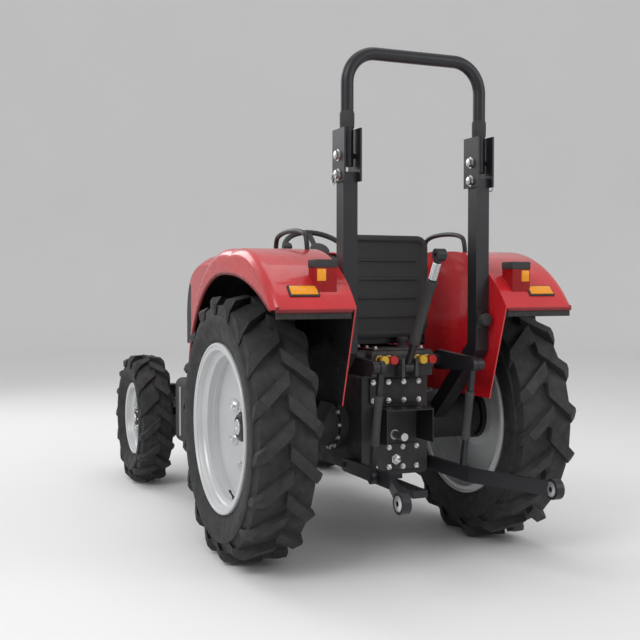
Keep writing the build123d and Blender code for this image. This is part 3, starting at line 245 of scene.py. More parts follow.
def lathe(name: str, place: Place, profile: list[tuple[float, float]], steps: int = 40) -> bpy.types.Object:
    """Turned piece: a profile drawn point by point and spun.

    Args:
        name: The piece's name.
        place: Origin and axis.
        profile: Pairs of distance along the axis and radius; a ring's profile ends where it starts.
        steps: Faces round the axis.

    Returns:
        The piece.
    """
    deselect()
    bpy.ops.mesh.primitive_plane_add(size=0.01, location=(0, 0, 0))
    piece = fresh(name)
    with editing(piece):
        bpy.ops.mesh.select_mode(type="VERT")
        bpy.ops.mesh.select_all(action="SELECT")
        bpy.ops.mesh.merge(type="CENTER")
        bpy.ops.transform.translate(value=(profile[0][1], 0, profile[0][0]))
        for before, after in zip(profile, profile[1:]):
            move = (after[1] - before[1], 0, after[0] - before[0])
            bpy.ops.mesh.extrude_vertices_move(TRANSFORM_OT_translate={"value": move})
        bpy.ops.mesh.select_all(action="SELECT")
        bpy.ops.mesh.spin(steps=steps, angle=TURN, center=(0, 0, 0), axis=(0, 0, 1))
        bpy.ops.mesh.select_all(action="SELECT")
        bpy.ops.mesh.remove_doubles(threshold=1e-5)
        bpy.ops.mesh.normals_make_consistent(inside=False)
    piece.data.transform(aim(*place))
    return piece


def pipe(name: str, points: list[Vector], radius: float, soft: bool = True) -> bpy.types.Object:
    """Round pipe or rod along points.

    Args:
        name: The piece's name.
        points: The route.
        radius: The pipe's radius.
        soft: Whether the route bends smoothly or keeps its points.

    Returns:
        The piece, as a mesh.
    """
    deselect()
    bpy.ops.curve.primitive_bezier_curve_add(location=(0, 0, 0))
    piece = fresh(name)
    piece.data.splines.clear()
    spline = piece.data.splines.new("NURBS" if soft else "POLY")
    spline.points.add(len(points) - 1)
    for knot, point in zip(spline.points, points):
        knot.co = (*point, 1.0)
    if soft:
        spline.use_endpoint_u = True
        spline.order_u = 3
    piece.data.bevel_depth = radius
    piece.data.bevel_resolution = 3
    piece.data.use_fill_caps = True
    choose(piece)
    bpy.ops.object.convert(target="MESH")
    return piece


def stamp(template: bpy.types.Object, places: list[Place]) -> bpy.types.Object:
    """Copies a small shape to many places and joins the copies.

    Args:
        template: The shape, standing on the origin along z.
        places: Points and axes.

    Returns:
        One piece with all the copies.
    """
    name = template.name
    copies = []
    for point, axis in places:
        copy = template.copy()
        copy.data = template.data.copy()
        bpy.context.collection.objects.link(copy)
        copy.data.transform(aim(point, axis))
        copies.append(copy)
    bpy.data.objects.remove(template)
    choose(*copies)
    if len(copies) > 1:
        bpy.ops.object.join()
    return fresh(name)


def bolts(name: str, places: list[Place], radius: float, height: float) -> bpy.types.Object:
    """Hexagon heads on their washers.

    Args:
        name: The piece's name.
        places: Seats and axes.
        radius: Radius over a head's corners.
        height: A head's height.

    Returns:
        One piece with every head.
    """
    deselect()
    bpy.ops.mesh.primitive_cylinder_add(vertices=6, radius=radius, depth=height,
                                        location=(0, 0, height * 0.7))
    head = fresh(name)
    settle(head)
    with editing(head) as mesh:
        pick_faces(mesh, lambda centre, normal: normal.z > 0.9)
        bpy.ops.mesh.inset(thickness=radius * 0.18, depth=height * 0.1)
        pick_faces(mesh, lambda centre, normal: normal.z < -0.9)
        bpy.ops.mesh.extrude_region_move(TRANSFORM_OT_translate={"value": (0, 0, 0)})
        bpy.ops.transform.resize(value=(1.4, 1.4, 1.0))
        bpy.ops.mesh.extrude_region_move(TRANSFORM_OT_translate={"value": (0, 0, -height * 0.2)})
    return stamp(head, places)


def ring(centre: Vector, axis: Vector, radius: float, count: int, lean: float = 0.0,
         phase: float = 0.0) -> list[Place]:
    """Places evenly spaced round an axis along y.

    Args:
        centre: Middle of the ring.
        axis: The ring's axis, plus or minus y.
        radius: The ring's radius.
        count: How many places.
        lean: How far each place's own axis leans out from the ring's axis.
        phase: Turn of the first place, in steps.

    Returns:
        Points and axes.
    """
    places = []
    for step in range(count):
        angle = TURN * (step + phase) / count
        out = Vector((math.cos(angle), 0, math.sin(angle)))
        places.append((Vector(centre) + out * radius, Vector(axis) + out * lean))
    return places


def arc(start: Vector, via: Vector, end: Vector, steps: int) -> list[Vector]:
    """Points of a circular arc through three points of a plane across y.

    Args:
        start: First point.
        via: A point on the way.
        end: Last point.
        steps: Spans of the arc.

    Returns:
        The points, both ends included.
    """
    centre = arc_centre(start, via, end)
    radius = (start - centre).length
    first = math.atan2(start.z - centre.z, start.x - centre.x)
    last = math.atan2(end.z - centre.z, end.x - centre.x)
    points = []
    for step in range(steps + 1):
        angle = first + (last - first) * step / steps
        points.append(centre + radius * Vector((math.cos(angle), 0, math.sin(angle))))
    return points


def arc_centre(start: Vector, via: Vector, end: Vector) -> Vector:
    """Centre of the circle through three points of a plane across y.

    Args:
        start: First point.
        via: Second point.
        end: Third point.

    Returns:
        The centre, in the same plane.
    """
    ax, az, bx, bz = via.x - start.x, via.z - start.z, end.x - start.x, end.z - start.z
    cross = 2 * (ax * bz - az * bx)
    a_square, b_square = ax * ax + az * az, bx * bx + bz * bz
    shift = Vector(((bz * a_square - az * b_square) / cross, 0, (ax * b_square - bx * a_square) / cross))
    return start + shift


def band(inner: float, outer: float, width: float) -> list[tuple[float, float]]:
    """Profile of a plain ring, from its two radii and its width."""
    return [(0, inner), (0, outer), (width, outer), (width, inner), (0, inner)]


def hoop(centre: Vector, radius: float) -> list[Vector]:
    """Closed round route across y, for a ring of wire."""
    angles = [TURN * step / 16 for step in range(17)]
    return [centre + Vector((math.sin(angle), 0, math.cos(angle))) * radius for angle in angles]


def smooth(piece: bpy.types.Object, angle: float = 38.0) -> None:
    """Shades a piece smooth up to an angle in degrees."""
    choose(piece)
    bpy.ops.object.shade_smooth_by_angle(angle=math.radians(angle))


# Finishes

def node_group(name: str, inputs: dict[str, str], outputs: dict[str, str]) -> bpy.types.NodeTree:
    """Empty shader group with named sockets.

    Args:
        name: The group's name.
        inputs: Socket types by name.
        outputs: Socket types by name.

    Returns:
        The group.
    """
    tree = bpy.data.node_groups.new(name, "ShaderNodeTree")
    for socket, kind in inputs.items():
        tree.interface.new_socket(name=socket, in_out="INPUT", socket_type=kind)
    for socket, kind in outputs.items():
        tree.interface.new_socket(name=socket, in_out="OUTPUT", socket_type=kind)
    tree.nodes.new("NodeGroupInput")
    tree.nodes.new("NodeGroupOutput")
    return tree


@dataclass
class Graph:
    """Short ways to wire a node tree."""

    tree: bpy.types.NodeTree

    def add(self, kind: str, **values: object) -> bpy.types.Node:
        """Adds a node and sets its properties.

        Args:
            kind: The node's type.
            values: Properties, or sockets written with spaces as underscores.

        Returns:
            The node.
        """
        node = self.tree.nodes.new(kind)
        for key, value in values.items():
            socket = node.inputs.get(key.replace("_", " "))
            if hasattr(node, key):
                setattr(node, key, value)
            elif isinstance(value, bpy.types.NodeSocket):
                self.tree.links.new(value, socket)
            else:
                socket.default_value = value
        return node

    def coords(self) -> bpy.types.NodeSocket:
        """Place on the object, in metres."""
        return self.add("ShaderNodeTexCoord").outputs["Object"]

    def math(self, operation: str, first: object, second: object) -> bpy.types.NodeSocket:
        """Arithmetic on two values or sockets.

        Args:
            operation: The operation's name.
            first: Value or socket.
            second: Value or socket.

        Returns:
            The result's socket.
        """
        node = self.tree.nodes.new("ShaderNodeMath")
        node.operation = operation
        for index, value in enumerate((first, second)):
            if isinstance(value, bpy.types.NodeSocket):
                self.tree.links.new(value, node.inputs[index])
            else:
                node.inputs[index].default_value = value
        return node.outputs[0]

    def remap(self, value: bpy.types.NodeSocket, low: float, high: float, first: float = 0.0,
              last: float = 1.0) -> bpy.types.NodeSocket:
        """Maps one range of a value to another.

        Args:
            value: The value's socket.
            low: Start of its range.
            high: End of its range.
            first: What the start becomes.
            last: What the end becomes.

        Returns:
            The result's socket.
        """
        node = self.add("ShaderNodeMapRange", Value=value, From_Min=low, From_Max=high, To_Min=first,
                        To_Max=last)
        return node.outputs["Result"]

    def mix(self, factor: bpy.types.NodeSocket, first: object, second: object) -> bpy.types.NodeSocket:
        """Mixes two colours.

        Args:
            factor: The mask's socket.
            first: Colour or socket where the mask is 0.
            second: Colour or socket where the mask is 1.

        Returns:
            The colour's socket.
        """
        node = self.tree.nodes.new("ShaderNodeMix")
        node.data_type = "RGBA"
        self.tree.links.new(factor, node.inputs[0])
        for index, value in ((6, first), (7, second)):
            if isinstance(value, bpy.types.NodeSocket):
                self.tree.links.new(value, node.inputs[index])
            else:
                node.inputs[index].default_value = (*value, 1.0)
        return node.outputs[2]


@cache
def dust_group() -> bpy.types.NodeTree:
    """Settled dust: more where a face looks up, in soft patches.

    Returns:
        The group, with outputs Colour and Mask.
    """
    kinds = {"Base": "NodeSocketColor", "Dust": "NodeSocketColor", "Amount": "NodeSocketFloat"}
    tree = node_group("settled_dust", kinds, {"Colour": "NodeSocketColor", "Mask": "NodeSocketFloat"})
    graph = Graph(tree)
    given, result = tree.nodes["Group Input"], tree.nodes["Group Output"]
    coords = graph.coords()
    patches = graph.add("ShaderNodeTexNoise", Vector=coords, Scale=7.0, Detail=6.0, Roughness=0.62)
    speckle = graph.add("ShaderNodeTexNoise", Vector=coords, Scale=140.0, Detail=2.0)
    normal = graph.add("ShaderNodeNewGeometry").outputs["Normal"]
    height = graph.add("ShaderNodeSeparateXYZ", Vector=normal).outputs["Z"]
    facing = graph.remap(height, -0.4, 1.0, 0.25, 1.0)
    cloud = graph.remap(patches.outputs["Fac"], 0.38, 0.72)
    fine = graph.remap(speckle.outputs["Fac"], 0.3, 0.7, 0.55, 1.0)
    mask = graph.math("MULTIPLY", graph.math("MULTIPLY", cloud, fine), facing)
    mask = graph.math("MULTIPLY", mask, given.outputs["Amount"])
    tree.links.new(graph.mix(mask, given.outputs["Base"], given.outputs["Dust"]), result.inputs["Colour"])
    tree.links.new(mask, result.inputs["Mask"])
    return tree


@cache
def wear_group() -> bpy.types.NodeTree:
    """Edge wear: bare metal in broken lines along sharp edges.

    Returns:
        The group, with outputs Colour and Mask.
    """
    kinds = {"Base": "NodeSocketColor", "Bare": "NodeSocketColor", "Amount": "NodeSocketFloat"}
    tree = node_group("edge_wear", kinds, {"Colour": "NodeSocketColor", "Mask": "NodeSocketFloat"})
    graph = Graph(tree)
    given, result = tree.nodes["Group Input"], tree.nodes["Group Output"]
    rounded = graph.add("ShaderNodeBevel", samples=3, Radius=0.004).outputs["Normal"]
    flat = graph.add("ShaderNodeNewGeometry").outputs["Normal"]
    dot = graph.tree.nodes.new("ShaderNodeVectorMath")
    dot.operation = "DOT_PRODUCT"
    tree.links.new(rounded, dot.inputs[0])
    tree.links.new(flat, dot.inputs[1])
    edge = graph.remap(dot.outputs["Value"], 0.985, 0.86)
    coords = graph.coords()
    broken = graph.add("ShaderNodeTexNoise", Vector=coords, Scale=42.0, Detail=4.0)
    mask = graph.math("MULTIPLY", edge, graph.remap(broken.outputs["Fac"], 0.46, 0.62))
    mask = graph.math("MULTIPLY", mask, given.outputs["Amount"])
    tree.links.new(graph.mix(mask, given.outputs["Base"], given.outputs["Bare"]), result.inputs["Colour"])
    tree.links.new(mask, result.inputs["Mask"])
    return tree


@cache
def grain_group() -> bpy.types.NodeTree:
    """Surface grain: a coarse and a fine noise as one height.

    Returns:
        The group, with outputs Height and Shade.
    """
    kinds = {"Scale": "NodeSocketFloat"}
    tree = node_group("surface_grain", kinds, {"Height": "NodeSocketFloat", "Shade": "NodeSocketFloat"})
    graph = Graph(tree)
    given, result = tree.nodes["Group Input"], tree.nodes["Group Output"]
    coords = graph.coords()
    fine = graph.add("ShaderNodeTexNoise", Vector=coords, Scale=given.outputs["Scale"], Detail=3.0)
    coarse_scale = graph.math("MULTIPLY", given.outputs["Scale"], 0.09)
    coarse = graph.add("ShaderNodeTexNoise", Vector=coords, Scale=coarse_scale, Detail=3.0)
    height = graph.math("ADD", fine.outputs["Fac"], coarse.outputs["Fac"])
    tree.links.new(height, result.inputs["Height"])
    tree.links.new(coarse.outputs["Fac"], result.inputs["Shade"])
    return tree


@dataclass(frozen=True)
class Finish:
    """A surface finish: colour, gloss, dust, wear, grain and its pieces' usual slot."""

    name: str
    color: Colour
    roughness: float
    metallic: float = 0.0
    coat: float = 0.0
    dust: float = 0.12
    dust_color: Colour = (0.33, 0.29, 0.24)
    wear: float = 0.0
    bare: Colour = (0.34, 0.34, 0.35)
    grain: float = 420.0
    depth: float = 0.0002
    slot: str = "black_plastic"

    def material(self) -> bpy.types.Material:
        """The finish as a material, made once.

        Returns:
            The material.
        """
        if self.name in bpy.data.materials:
            return bpy.data.materials[self.name]
        made = bpy.data.materials.new(self.name)
        made.use_nodes = True
        graph = Graph(made.node_tree)
        shader = made.node_tree.nodes["Principled BSDF"]
        shader.inputs["Metallic"].default_value = self.metallic
        shader.inputs["Coat Weight"].default_value = self.coat
        shader.inputs["Coat Roughness"].default_value = 0.06
        grain = graph.add("ShaderNodeGroup", node_tree=grain_group(), Scale=self.grain)
        color, mask = self.weathered(graph)
        made.node_tree.links.new(color, shader.inputs["Base Color"])
        rough = graph.remap(grain.outputs["Shade"], 0.3, 0.7, self.roughness * 0.8,
                            min(1.0, self.roughness * 1.2))
        dusty = graph.math("ADD", rough, graph.math("MULTIPLY", mask, 0.45))
        made.node_tree.links.new(dusty, shader.inputs["Roughness"])
        height = self.relief(graph, grain.outputs["Height"])
        bump = graph.add("ShaderNodeBump", Strength=0.6, Distance=self.depth, Height=height)
        made.node_tree.links.new(bump.outputs["Normal"], shader.inputs["Normal"])
        self.extras(shader)
        return made

    def weathered(self, graph: Graph) -> tuple[bpy.types.NodeSocket, bpy.types.NodeSocket]:
        """Wear and dust over the base colour.

        Args:
            graph: The material's graph.

        Returns:
            The colour and the dust mask.
        """
        base = self.tinted(graph)
        if self.wear > 0:
            worn = graph.add("ShaderNodeGroup", node_tree=wear_group(), Base=base, Bare=(*self.bare, 1),
                             Amount=self.wear)
            base = worn.outputs["Colour"]
        dusty = graph.add("ShaderNodeGroup", node_tree=dust_group(), Base=base, Dust=(*self.dust_color, 1),
                          Amount=self.dust)
        return dusty.outputs["Colour"], dusty.outputs["Mask"]

    def tinted(self, graph: Graph) -> bpy.types.NodeSocket:
        """Base colour with a slow, slight change over the surface.

        Args:
            graph: The material's graph.

        Returns:
            The colour's socket.
        """
        coords = graph.coords()
        cloud = graph.add("ShaderNodeTexNoise", Vector=coords, Scale=3.1, Detail=3.0).outputs["Fac"]
        dark = tuple(channel * 0.86 for channel in self.color)
        light = tuple(min(1.0, channel * 1.1) for channel in self.color)
        return graph.mix(graph.remap(cloud, 0.3, 0.7), dark, light)

    def relief(self, graph: Graph, height: bpy.types.NodeSocket) -> bpy.types.NodeSocket:
        """Height that the bump reads; a plain finish keeps the grain's."""
        return height

    def extras(self, shader: bpy.types.Node) -> None:
        """Constant sockets of special finishes; a plain finish sets none."""


@dataclass(frozen=True)
class TyreRubber(Finish):
    """Rubber with moulded rings on the sidewall, centred on its wheel."""

    centre: tuple[float, float, float] = (0.0, 0.0, 0.0)
    pitch: float = 0.011

    def relief(self, graph: Graph, height: bpy.types.NodeSocket) -> bpy.types.NodeSocket:
        """Adds rings about the wheel's axle to the grain.

        Args:
            graph: The material's graph.
            height: The grain's height.

        Returns:
            The height with rings.
        """
        coords = graph.coords()
        shift = tuple(-value for value in self.centre)
        moved = graph.add("ShaderNodeMapping", Vector=coords, Location=shift).outputs["Vector"]
        parts = graph.add("ShaderNodeSeparateXYZ", Vector=moved)
        square = graph.math("ADD", graph.math("MULTIPLY", parts.outputs["X"], parts.outputs["X"]),
                            graph.math("MULTIPLY", parts.outputs["Z"], parts.outputs["Z"]))
        turns = graph.math("MULTIPLY", graph.math("SQRT", square, 0.0), TURN / self.pitch)
        rings = graph.remap(graph.math("SINE", turns, 0.0), 0.55, 0.95)
        return graph.math("ADD", height, graph.math("MULTIPLY", rings, 2.2))


@dataclass(frozen=True)
class FenderPaintAndShade(Finish):
    """Gloss paint outside, with near-black painted shade on the faces that look towards the wheel."""

    # Near-black colour that paints the shade on the faces turned towards the wheel.
    inside: Colour = (0.012, 0.012, 0.013)
    hub: tuple[float, float] = (0.0, 0.75)
    wall_y: float = 0.5

    def tinted(self, graph: Graph) -> bpy.types.NodeSocket:
        """Mixes near-black painted shade in where a face looks towards the wheel: under the arch, inside the
        outer skirt and on the inner wall.

        Args:
            graph: The material's graph.

        Returns:
            The colour's socket.
        """
        paint = super().tinted(graph)
        place = graph.add("ShaderNodeSeparateXYZ", Vector=graph.coords())
        facing = graph.add("ShaderNodeSeparateXYZ",
                           Vector=graph.add("ShaderNodeNewGeometry").outputs["Normal"])
        out_x = graph.math("MULTIPLY", graph.math("SUBTRACT", place.outputs["X"], self.hub[0]),
                           facing.outputs["X"])
        out_z = graph.math("MULTIPLY", graph.math("SUBTRACT", place.outputs["Z"], self.hub[1]),
                           facing.outputs["Z"])
        # Painted shade: faces that look towards the hub under the arch, or at the wheel from either side,
        # turn near-black.
        under_arch_shade = graph.remap(graph.math("ADD", out_x, out_z), -0.06, -0.12)
        outwards = graph.math("MULTIPLY", facing.outputs["Y"], graph.math("SIGN", place.outputs["Y"], 0.0))
        distance = graph.math("ABSOLUTE", place.outputs["Y"], 0.0)
        on_wall = graph.math("LESS_THAN", distance, self.wall_y)
        skirt_shade = graph.math("MULTIPLY", graph.math("LESS_THAN", outwards, -0.5),
                           graph.math("SUBTRACT", 1.0, on_wall))
        wall = graph.math("MULTIPLY", graph.math("GREATER_THAN", outwards, 0.5), on_wall)
        mask = graph.math("MAXIMUM", graph.math("MAXIMUM", skirt_shade, wall), under_arch_shade)
        return graph.mix(mask, paint, self.inside)


@dataclass(frozen=True)
class RibbedLens(Finish):
    """Moulded lens with fine upright ribs."""

    ribs: float = 0.007
    clear: float = 0.0

    def relief(self, graph: Graph, height: bpy.types.NodeSocket) -> bpy.types.NodeSocket:
        """Ribs across the lens.

        Args:
            graph: The material's graph.
            height: The grain's height.

        Returns:
            The ribs' height.
        """
        coords = graph.coords()
        across = graph.add("ShaderNodeSeparateXYZ", Vector=coords).outputs["Y"]
        return graph.math("SINE", graph.math("MULTIPLY", across, TURN / self.ribs), 0.0)

    def extras(self, shader: bpy.types.Node) -> None:
        """Sets how clear the lens is."""
        shader.inputs["Transmission Weight"].default_value = self.clear
        shader.inputs["IOR"].default_value = 1.2


@dataclass(frozen=True)
class FinnedCore(Finish):
    """Radiator core: close fins between tubes."""

    fins: float = 0.006

    def relief(self, graph: Graph, height: bpy.types.NodeSocket) -> bpy.types.NodeSocket:
        """Fins and tubes crossing at right angles.

        Args:
            graph: The material's graph.
            height: The grain's height.

        Returns:
            The core's height.
        """
        coords = graph.coords()
        parts = graph.add("ShaderNodeSeparateXYZ", Vector=coords)
        fins = graph.math("SINE", graph.math("MULTIPLY", parts.outputs["Z"], TURN / self.fins), 0.0)
        tubes = graph.math("SINE", graph.math("MULTIPLY", parts.outputs["Y"], math.pi / self.fins), 0.0)
        return graph.math("ADD", fins, graph.math("MULTIPLY", tubes, 2.0))


BODY_RED = Finish("body_red", (0.55, 0.009, 0.016), 0.30, coat=0.5, dust=0.07, grain=160, depth=0.00012,
                  slot="body_red")
# Fender red, with painted shade on the faces towards the wheel.
FENDER_RED_AND_SHADE = FenderPaintAndShade("fender_red", (0.55, 0.009, 0.016), 0.30, coat=0.5, dust=0.06, grain=160,
                         depth=0.00012, hub=(DATUM.rear.x, 0.75))
PANEL_SILVER = Finish("panel_silver", (0.46, 0.46, 0.47), 0.34, metallic=0.55, coat=0.3, dust=0.08,
                      slot="body_red")
CHASSIS_BLACK = Finish("chassis_black", (0.016, 0.016, 0.018), 0.42, dust=0.16, wear=0.35,
                       bare=(0.16, 0.16, 0.17), slot="chassis_black")
CAST_IRON = Finish("cast_iron_black", (0.028, 0.028, 0.030), 0.62, dust=0.22, wear=0.3, grain=210,
                   depth=0.0008, slot="chassis_black")
WHEEL_SILVER = Finish("wheel_silver", (0.33, 0.34, 0.35), 0.32, metallic=0.6, coat=0.15, dust=0.14,
                      slot="wheel_silver")
HUB_BLACK = Finish("hub_black", (0.012, 0.012, 0.013), 0.40, dust=0.12, slot="chassis_black")
# Darker copy of the body red, as painted shade on the rolled arch lip and the folded tail edge.
SHADED_LIP_RED = Finish("shaded_lip_red", (0.20, 0.006, 0.010), 0.55, dust=0.06, slot="body_red")
BLACK_PLASTIC = Finish("black_plastic", (0.022, 0.022, 0.024), 0.52, dust=0.14, grain=900, depth=0.0003)
SOFT_RUBBER = Finish("soft_rubber", (0.018, 0.018, 0.018), 0.75, dust=0.2, grain=600, depth=0.0003)
SEAT_VINYL = Finish("seat_vinyl", (0.020, 0.020, 0.022), 0.46, dust=0.06, grain=700, depth=0.0006,
                    slot="seat_vinyl")
BRIGHT_STEEL = Finish("bright_steel", (0.62, 0.62, 0.63), 0.24, metallic=1.0, dust=0.06, grain=500,
                      slot="bright_steel")
ZINC_NUT = Finish("zinc_nut", (0.70, 0.70, 0.71), 0.28, metallic=1.0, dust=0.05, slot="bright_steel")
EXHAUST_BLACK = Finish("exhaust_black", (0.030, 0.028, 0.027), 0.68, dust=0.2, dust_color=(0.16, 0.07, 0.03),
                       depth=0.0005, slot="chassis_black")
BRASS = Finish("brass", (0.55, 0.36, 0.12), 0.32, metallic=1.0, dust=0.08, slot="bright_steel")
KNOB_RED = Finish("knob_red", (0.42, 0.012, 0.012), 0.34, dust=0.04)
KNOB_YELLOW = Finish("knob_yellow", (0.62, 0.37, 0.02), 0.34, dust=0.04)
DIAL_WHITE = Finish("dial_white", (0.72, 0.72, 0.70), 0.4, dust=0.0)
CORE_BLACK = FinnedCore("core_black", (0.02, 0.02, 0.02), 0.55, dust=0.2, depth=0.002)
LENS_CLEAR = RibbedLens("lens_clear", (0.92, 0.93, 0.94), 0.05, dust=0.0, depth=0.0006, clear=0.9)
LENS_RED = RibbedLens("lens_red", (0.30, 0.006, 0.008), 0.14, coat=0.5, dust=0.03, depth=0.0010)
LENS_AMBER = RibbedLens("lens_amber", (0.86, 0.33, 0.02), 0.16, coat=0.5, dust=0.02, depth=0.0010,
                        slot="lamp_red")


# Sub-assemblies

@dataclass
class SubAssembly:
    """Pieces that belong together on the tractor."""

    def keep(self, piece: bpy.types.Object, finish: Finish, body: str = "chassis",
             slot: str = "") -> bpy.types.Object:
        """Finishes a new piece and sets it to ride on its body.

        Args:
            piece: The piece, in its place.
            finish: Its finish.
            body: The body that it moves with.
            slot: The slot that it belongs to, where it isn't the finish's usual one; not used.

        Returns:
            The piece.
        """
        piece.data.materials.clear()
        piece.data.materials.append(finish.material())
        smooth(piece)
        slot = slot or finish.slot
        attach(piece, body)
        LOG.info("%s on %s in %s", piece.name, body, finish.name)
        return piece

    def dress(self, finish: Finish, *nodes: str) -> None:
        """Gives nodes of the frame their finish."""
        for node in nodes:
            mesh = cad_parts[node].data
            mesh.materials.clear()
            mesh.materials.append(finish.material())
            LOG.info("%s dressed in %s", node, finish.name)

    def build(self) -> None:
        """Makes and dresses the pieces."""
        raise NotImplementedError


@dataclass
class Wheel(SubAssembly):
    """One wheel: rubber, moulded sidewalls, stepped rim, clamps, nuts and hub."""

    end: str
    side: Side
    nut_circle: float
    nut_radius: float
    cover_radius: float
    boss_radius: float
    lip: float
    bead: tuple[float, float]
    bulge: tuple[float, float]
    step_radius: float
    seat: tuple[float, float]
    well: tuple[float, float]
    disc_y: float
    disc_face: float
    clamp_circle: float
    clamp_y: float
    clamp_lean: float
    nuts: int = 8

    @property
    def body(self) -> str:
        """The body that the wheel turns with."""
        return f"wheel_{self.end}_{self.side.word}"

    @property
    def name(self) -> str:
        """The wheel's end and side, as node names have them."""
        return f"{self.end}_{self.side.word}"

    @property
    def axis(self) -> Vector:
        """Outwards along the axle."""
        return self.side.out

    @cached_property
    def centre(self) -> Vector:
        """The wheel's centre."""
        return middle(f"rim_{self.name}")

    @cached_property
    def rim(self) -> tuple[float, float]:
        """Half the rim's width, and its flange's radius."""
        low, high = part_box(f"rim_{self.name}")
        return (high.y - low.y) / 2, (high.z - low.z) / 2

    def build(self) -> None:
        """Dresses the wheel and fits its small pieces."""
        rubber = TyreRubber(f"tyre_{self.name}", (0.021, 0.021, 0.022), 0.74, dust=0.34,
                            dust_color=(0.13, 0.125, 0.115), grain=260, depth=0.0009,
                            centre=tuple(self.centre))
        self.dress(rubber, f"tyre_{self.name}")
        self.dress(WHEEL_SILVER, f"rim_{self.name}")
        self.dress(HUB_BLACK, f"hub_{self.name}")
        self.sidewalls(rubber)
        self.rolled_edges()
        self.stepped_barrel()
        self.hub_end()
        self.nuts_on_disc()
        self.clamps()
        self.valve()

    def sidewalls(self, rubber: Finish) -> None:
        """Smooth moulded walls on both faces of the tyre, stepped where the lugs begin.

        Args:
            rubber: The tyre's finish.
        """
        (foot_r, foot_y), (bulge_r, bulge_y) = self.bead, self.bulge
        profile = []
        for step in range(7):
            share = step / 6
            rib = 0.0028 if step == 1 else 0.0
            out = foot_y + (bulge_y - foot_y) * share + 0.002 * math.sin(math.pi * share) + 0.0012 + rib
            profile.append((out, foot_r + 0.001 + (bulge_r - foot_r) * share))
        rise = self.step_radius - bulge_r
        profile += [(bulge_y + 0.0022, bulge_r + rise * 0.35), (bulge_y + 0.0022, bulge_r + rise * 0.72),
                    (bulge_y + 0.0010, self.step_radius - 0.002), (bulge_y - 0.0020, self.step_radius),
                    (bulge_y - 0.0160, self.step_radius + 0.004), (bulge_y - 0.0150, bulge_r),
                    (foot_y - 0.006, foot_r + 0.001), profile[0]]
        for face, out in (("outer", self.axis), ("inner", -self.axis)):
            wall = lathe(f"tyre_wall_{face}_{self.name}", (self.centre, out), profile, steps=96)
            self.keep(wall, rubber, self.body, slot="tyre")

    def rolled_edges(self) -> None:
        """Rolled edges of the rim's two flanges."""
        edge, flange = self.rim
        profile = []
        for step in range(9):
            angle = TURN * step / 8
            profile.append((self.lip * math.cos(angle), flange - self.lip + self.lip * math.sin(angle)))
        for face, out in (("outer", self.axis), ("inner", -self.axis)):
            roll = lathe(f"rim_edge_{face}_{self.name}", (self.centre + out * edge, out), profile, steps=96)
            self.keep(roll, WHEEL_SILVER, self.body)

    def stepped_barrel(self) -> None:
        """Pressed steps inside the rim, from the flange down to the disc."""
        edge, flange = self.rim
        (seat_r, seat_y), (well_r, well_y) = self.seat, self.well
        half_r = (seat_r + well_r) / 2
        half_y = well_y - (well_y - self.disc_y) * 0.45
        profile = [(edge + 0.0010, flange - self.lip * 1.6), (edge + 0.0014, seat_r + 0.012),
                   (edge - 0.001, seat_r + 0.002), (edge - 0.007, seat_r - 0.0018),
                   (seat_y + 0.006, seat_r - 0.0018), (seat_y + 0.001, seat_r - 0.0036),
                   (well_y + 0.003, half_r - 0.0010), (well_y - 0.003, half_r - 0.0036),
                   (half_y + 0.005, half_r - 0.0036), (half_y, half_r - 0.0056),
                   (half_y - 0.006, well_r - 0.0014), (self.disc_y + 0.003, well_r - 0.0014),
                   (self.disc_y + 0.003, well_r + 0.001), (half_y - 0.003, well_r + 0.001),
                   (well_y, well_r + 0.001), (seat_y, seat_r + 0.001), (edge - 0.001, seat_r + 0.003),
                   (edge - 0.001, flange - self.lip * 1.6)]
        barrel = lathe(f"rim_barrel_{self.name}", (self.centre, self.axis), profile + profile[:1], steps=96)
        self.keep(barrel, WHEEL_SILVER, self.body)

    def hub_end(self) -> None:
        """Turned cap on the hub, with the bright end of the axle in it."""
        low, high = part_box(f"hub_{self.name}")
        boss_y = high.y if self.side is Side.LEFT else low.y
        boss = Vector((self.centre.x, boss_y, self.centre.z))
        radius = self.boss_radius
        cap = lathe(f"hub_cap_{self.name}", (boss, self.axis),
                    [(-0.030, radius - 0.001), (-0.030, radius + 0.006), (-0.004, radius + 0.006),
                     (0.004, radius), (0.010, radius * 0.90), (0.012, radius * 0.70), (0.004, radius * 0.66),
                     (0.004, 0.0)])
        self.keep(cap, HUB_BLACK, self.body)
        end = lathe(f"axle_end_{self.name}", (boss, self.axis),
                    [(0.002, radius * 0.60), (0.014, radius * 0.60), (0.018, radius * 0.54),
                     (0.018, radius * 0.20), (0.013, radius * 0.14), (0.013, 0.0)])
        self.keep(end, BRIGHT_STEEL, self.body)

    def nuts_on_disc(self) -> None:
        """Cover plate, wheel nuts and studs on the disc's face."""
        seat = self.centre + self.axis * self.disc_face
        inner = self.boss_radius + 0.0075
        cover = lathe(f"hub_cover_{self.name}", (seat, self.axis),
                      [(-0.002, inner), (0.010, inner), (0.013, inner + 0.005),
                       (0.013, self.cover_radius - 0.008), (0.008, self.cover_radius),
                       (-0.002, self.cover_radius), (-0.002, inner)])
        finish = HUB_BLACK if self.end == "rear" else WHEEL_SILVER
        self.keep(cover, finish, self.body, slot="chassis_black")
        places = ring(seat + self.axis * 0.013, self.axis, self.nut_circle, self.nuts)
        nuts = bolts(f"wheel_nuts_{self.name}", places, self.nut_radius, self.nut_radius * 1.2)
        self.keep(nuts, ZINC_NUT, self.body)
        width = self.nut_radius
        stud = lathe(f"wheel_studs_{self.name}", (Vector(), UP),
                     [(0, width * 0.5), (width * 2.0, width * 0.5), (width * 2.2, width * 0.35),
                      (width * 2.2, 0)], steps=10)
        self.keep(stamp(stud, places), ZINC_NUT, self.body)

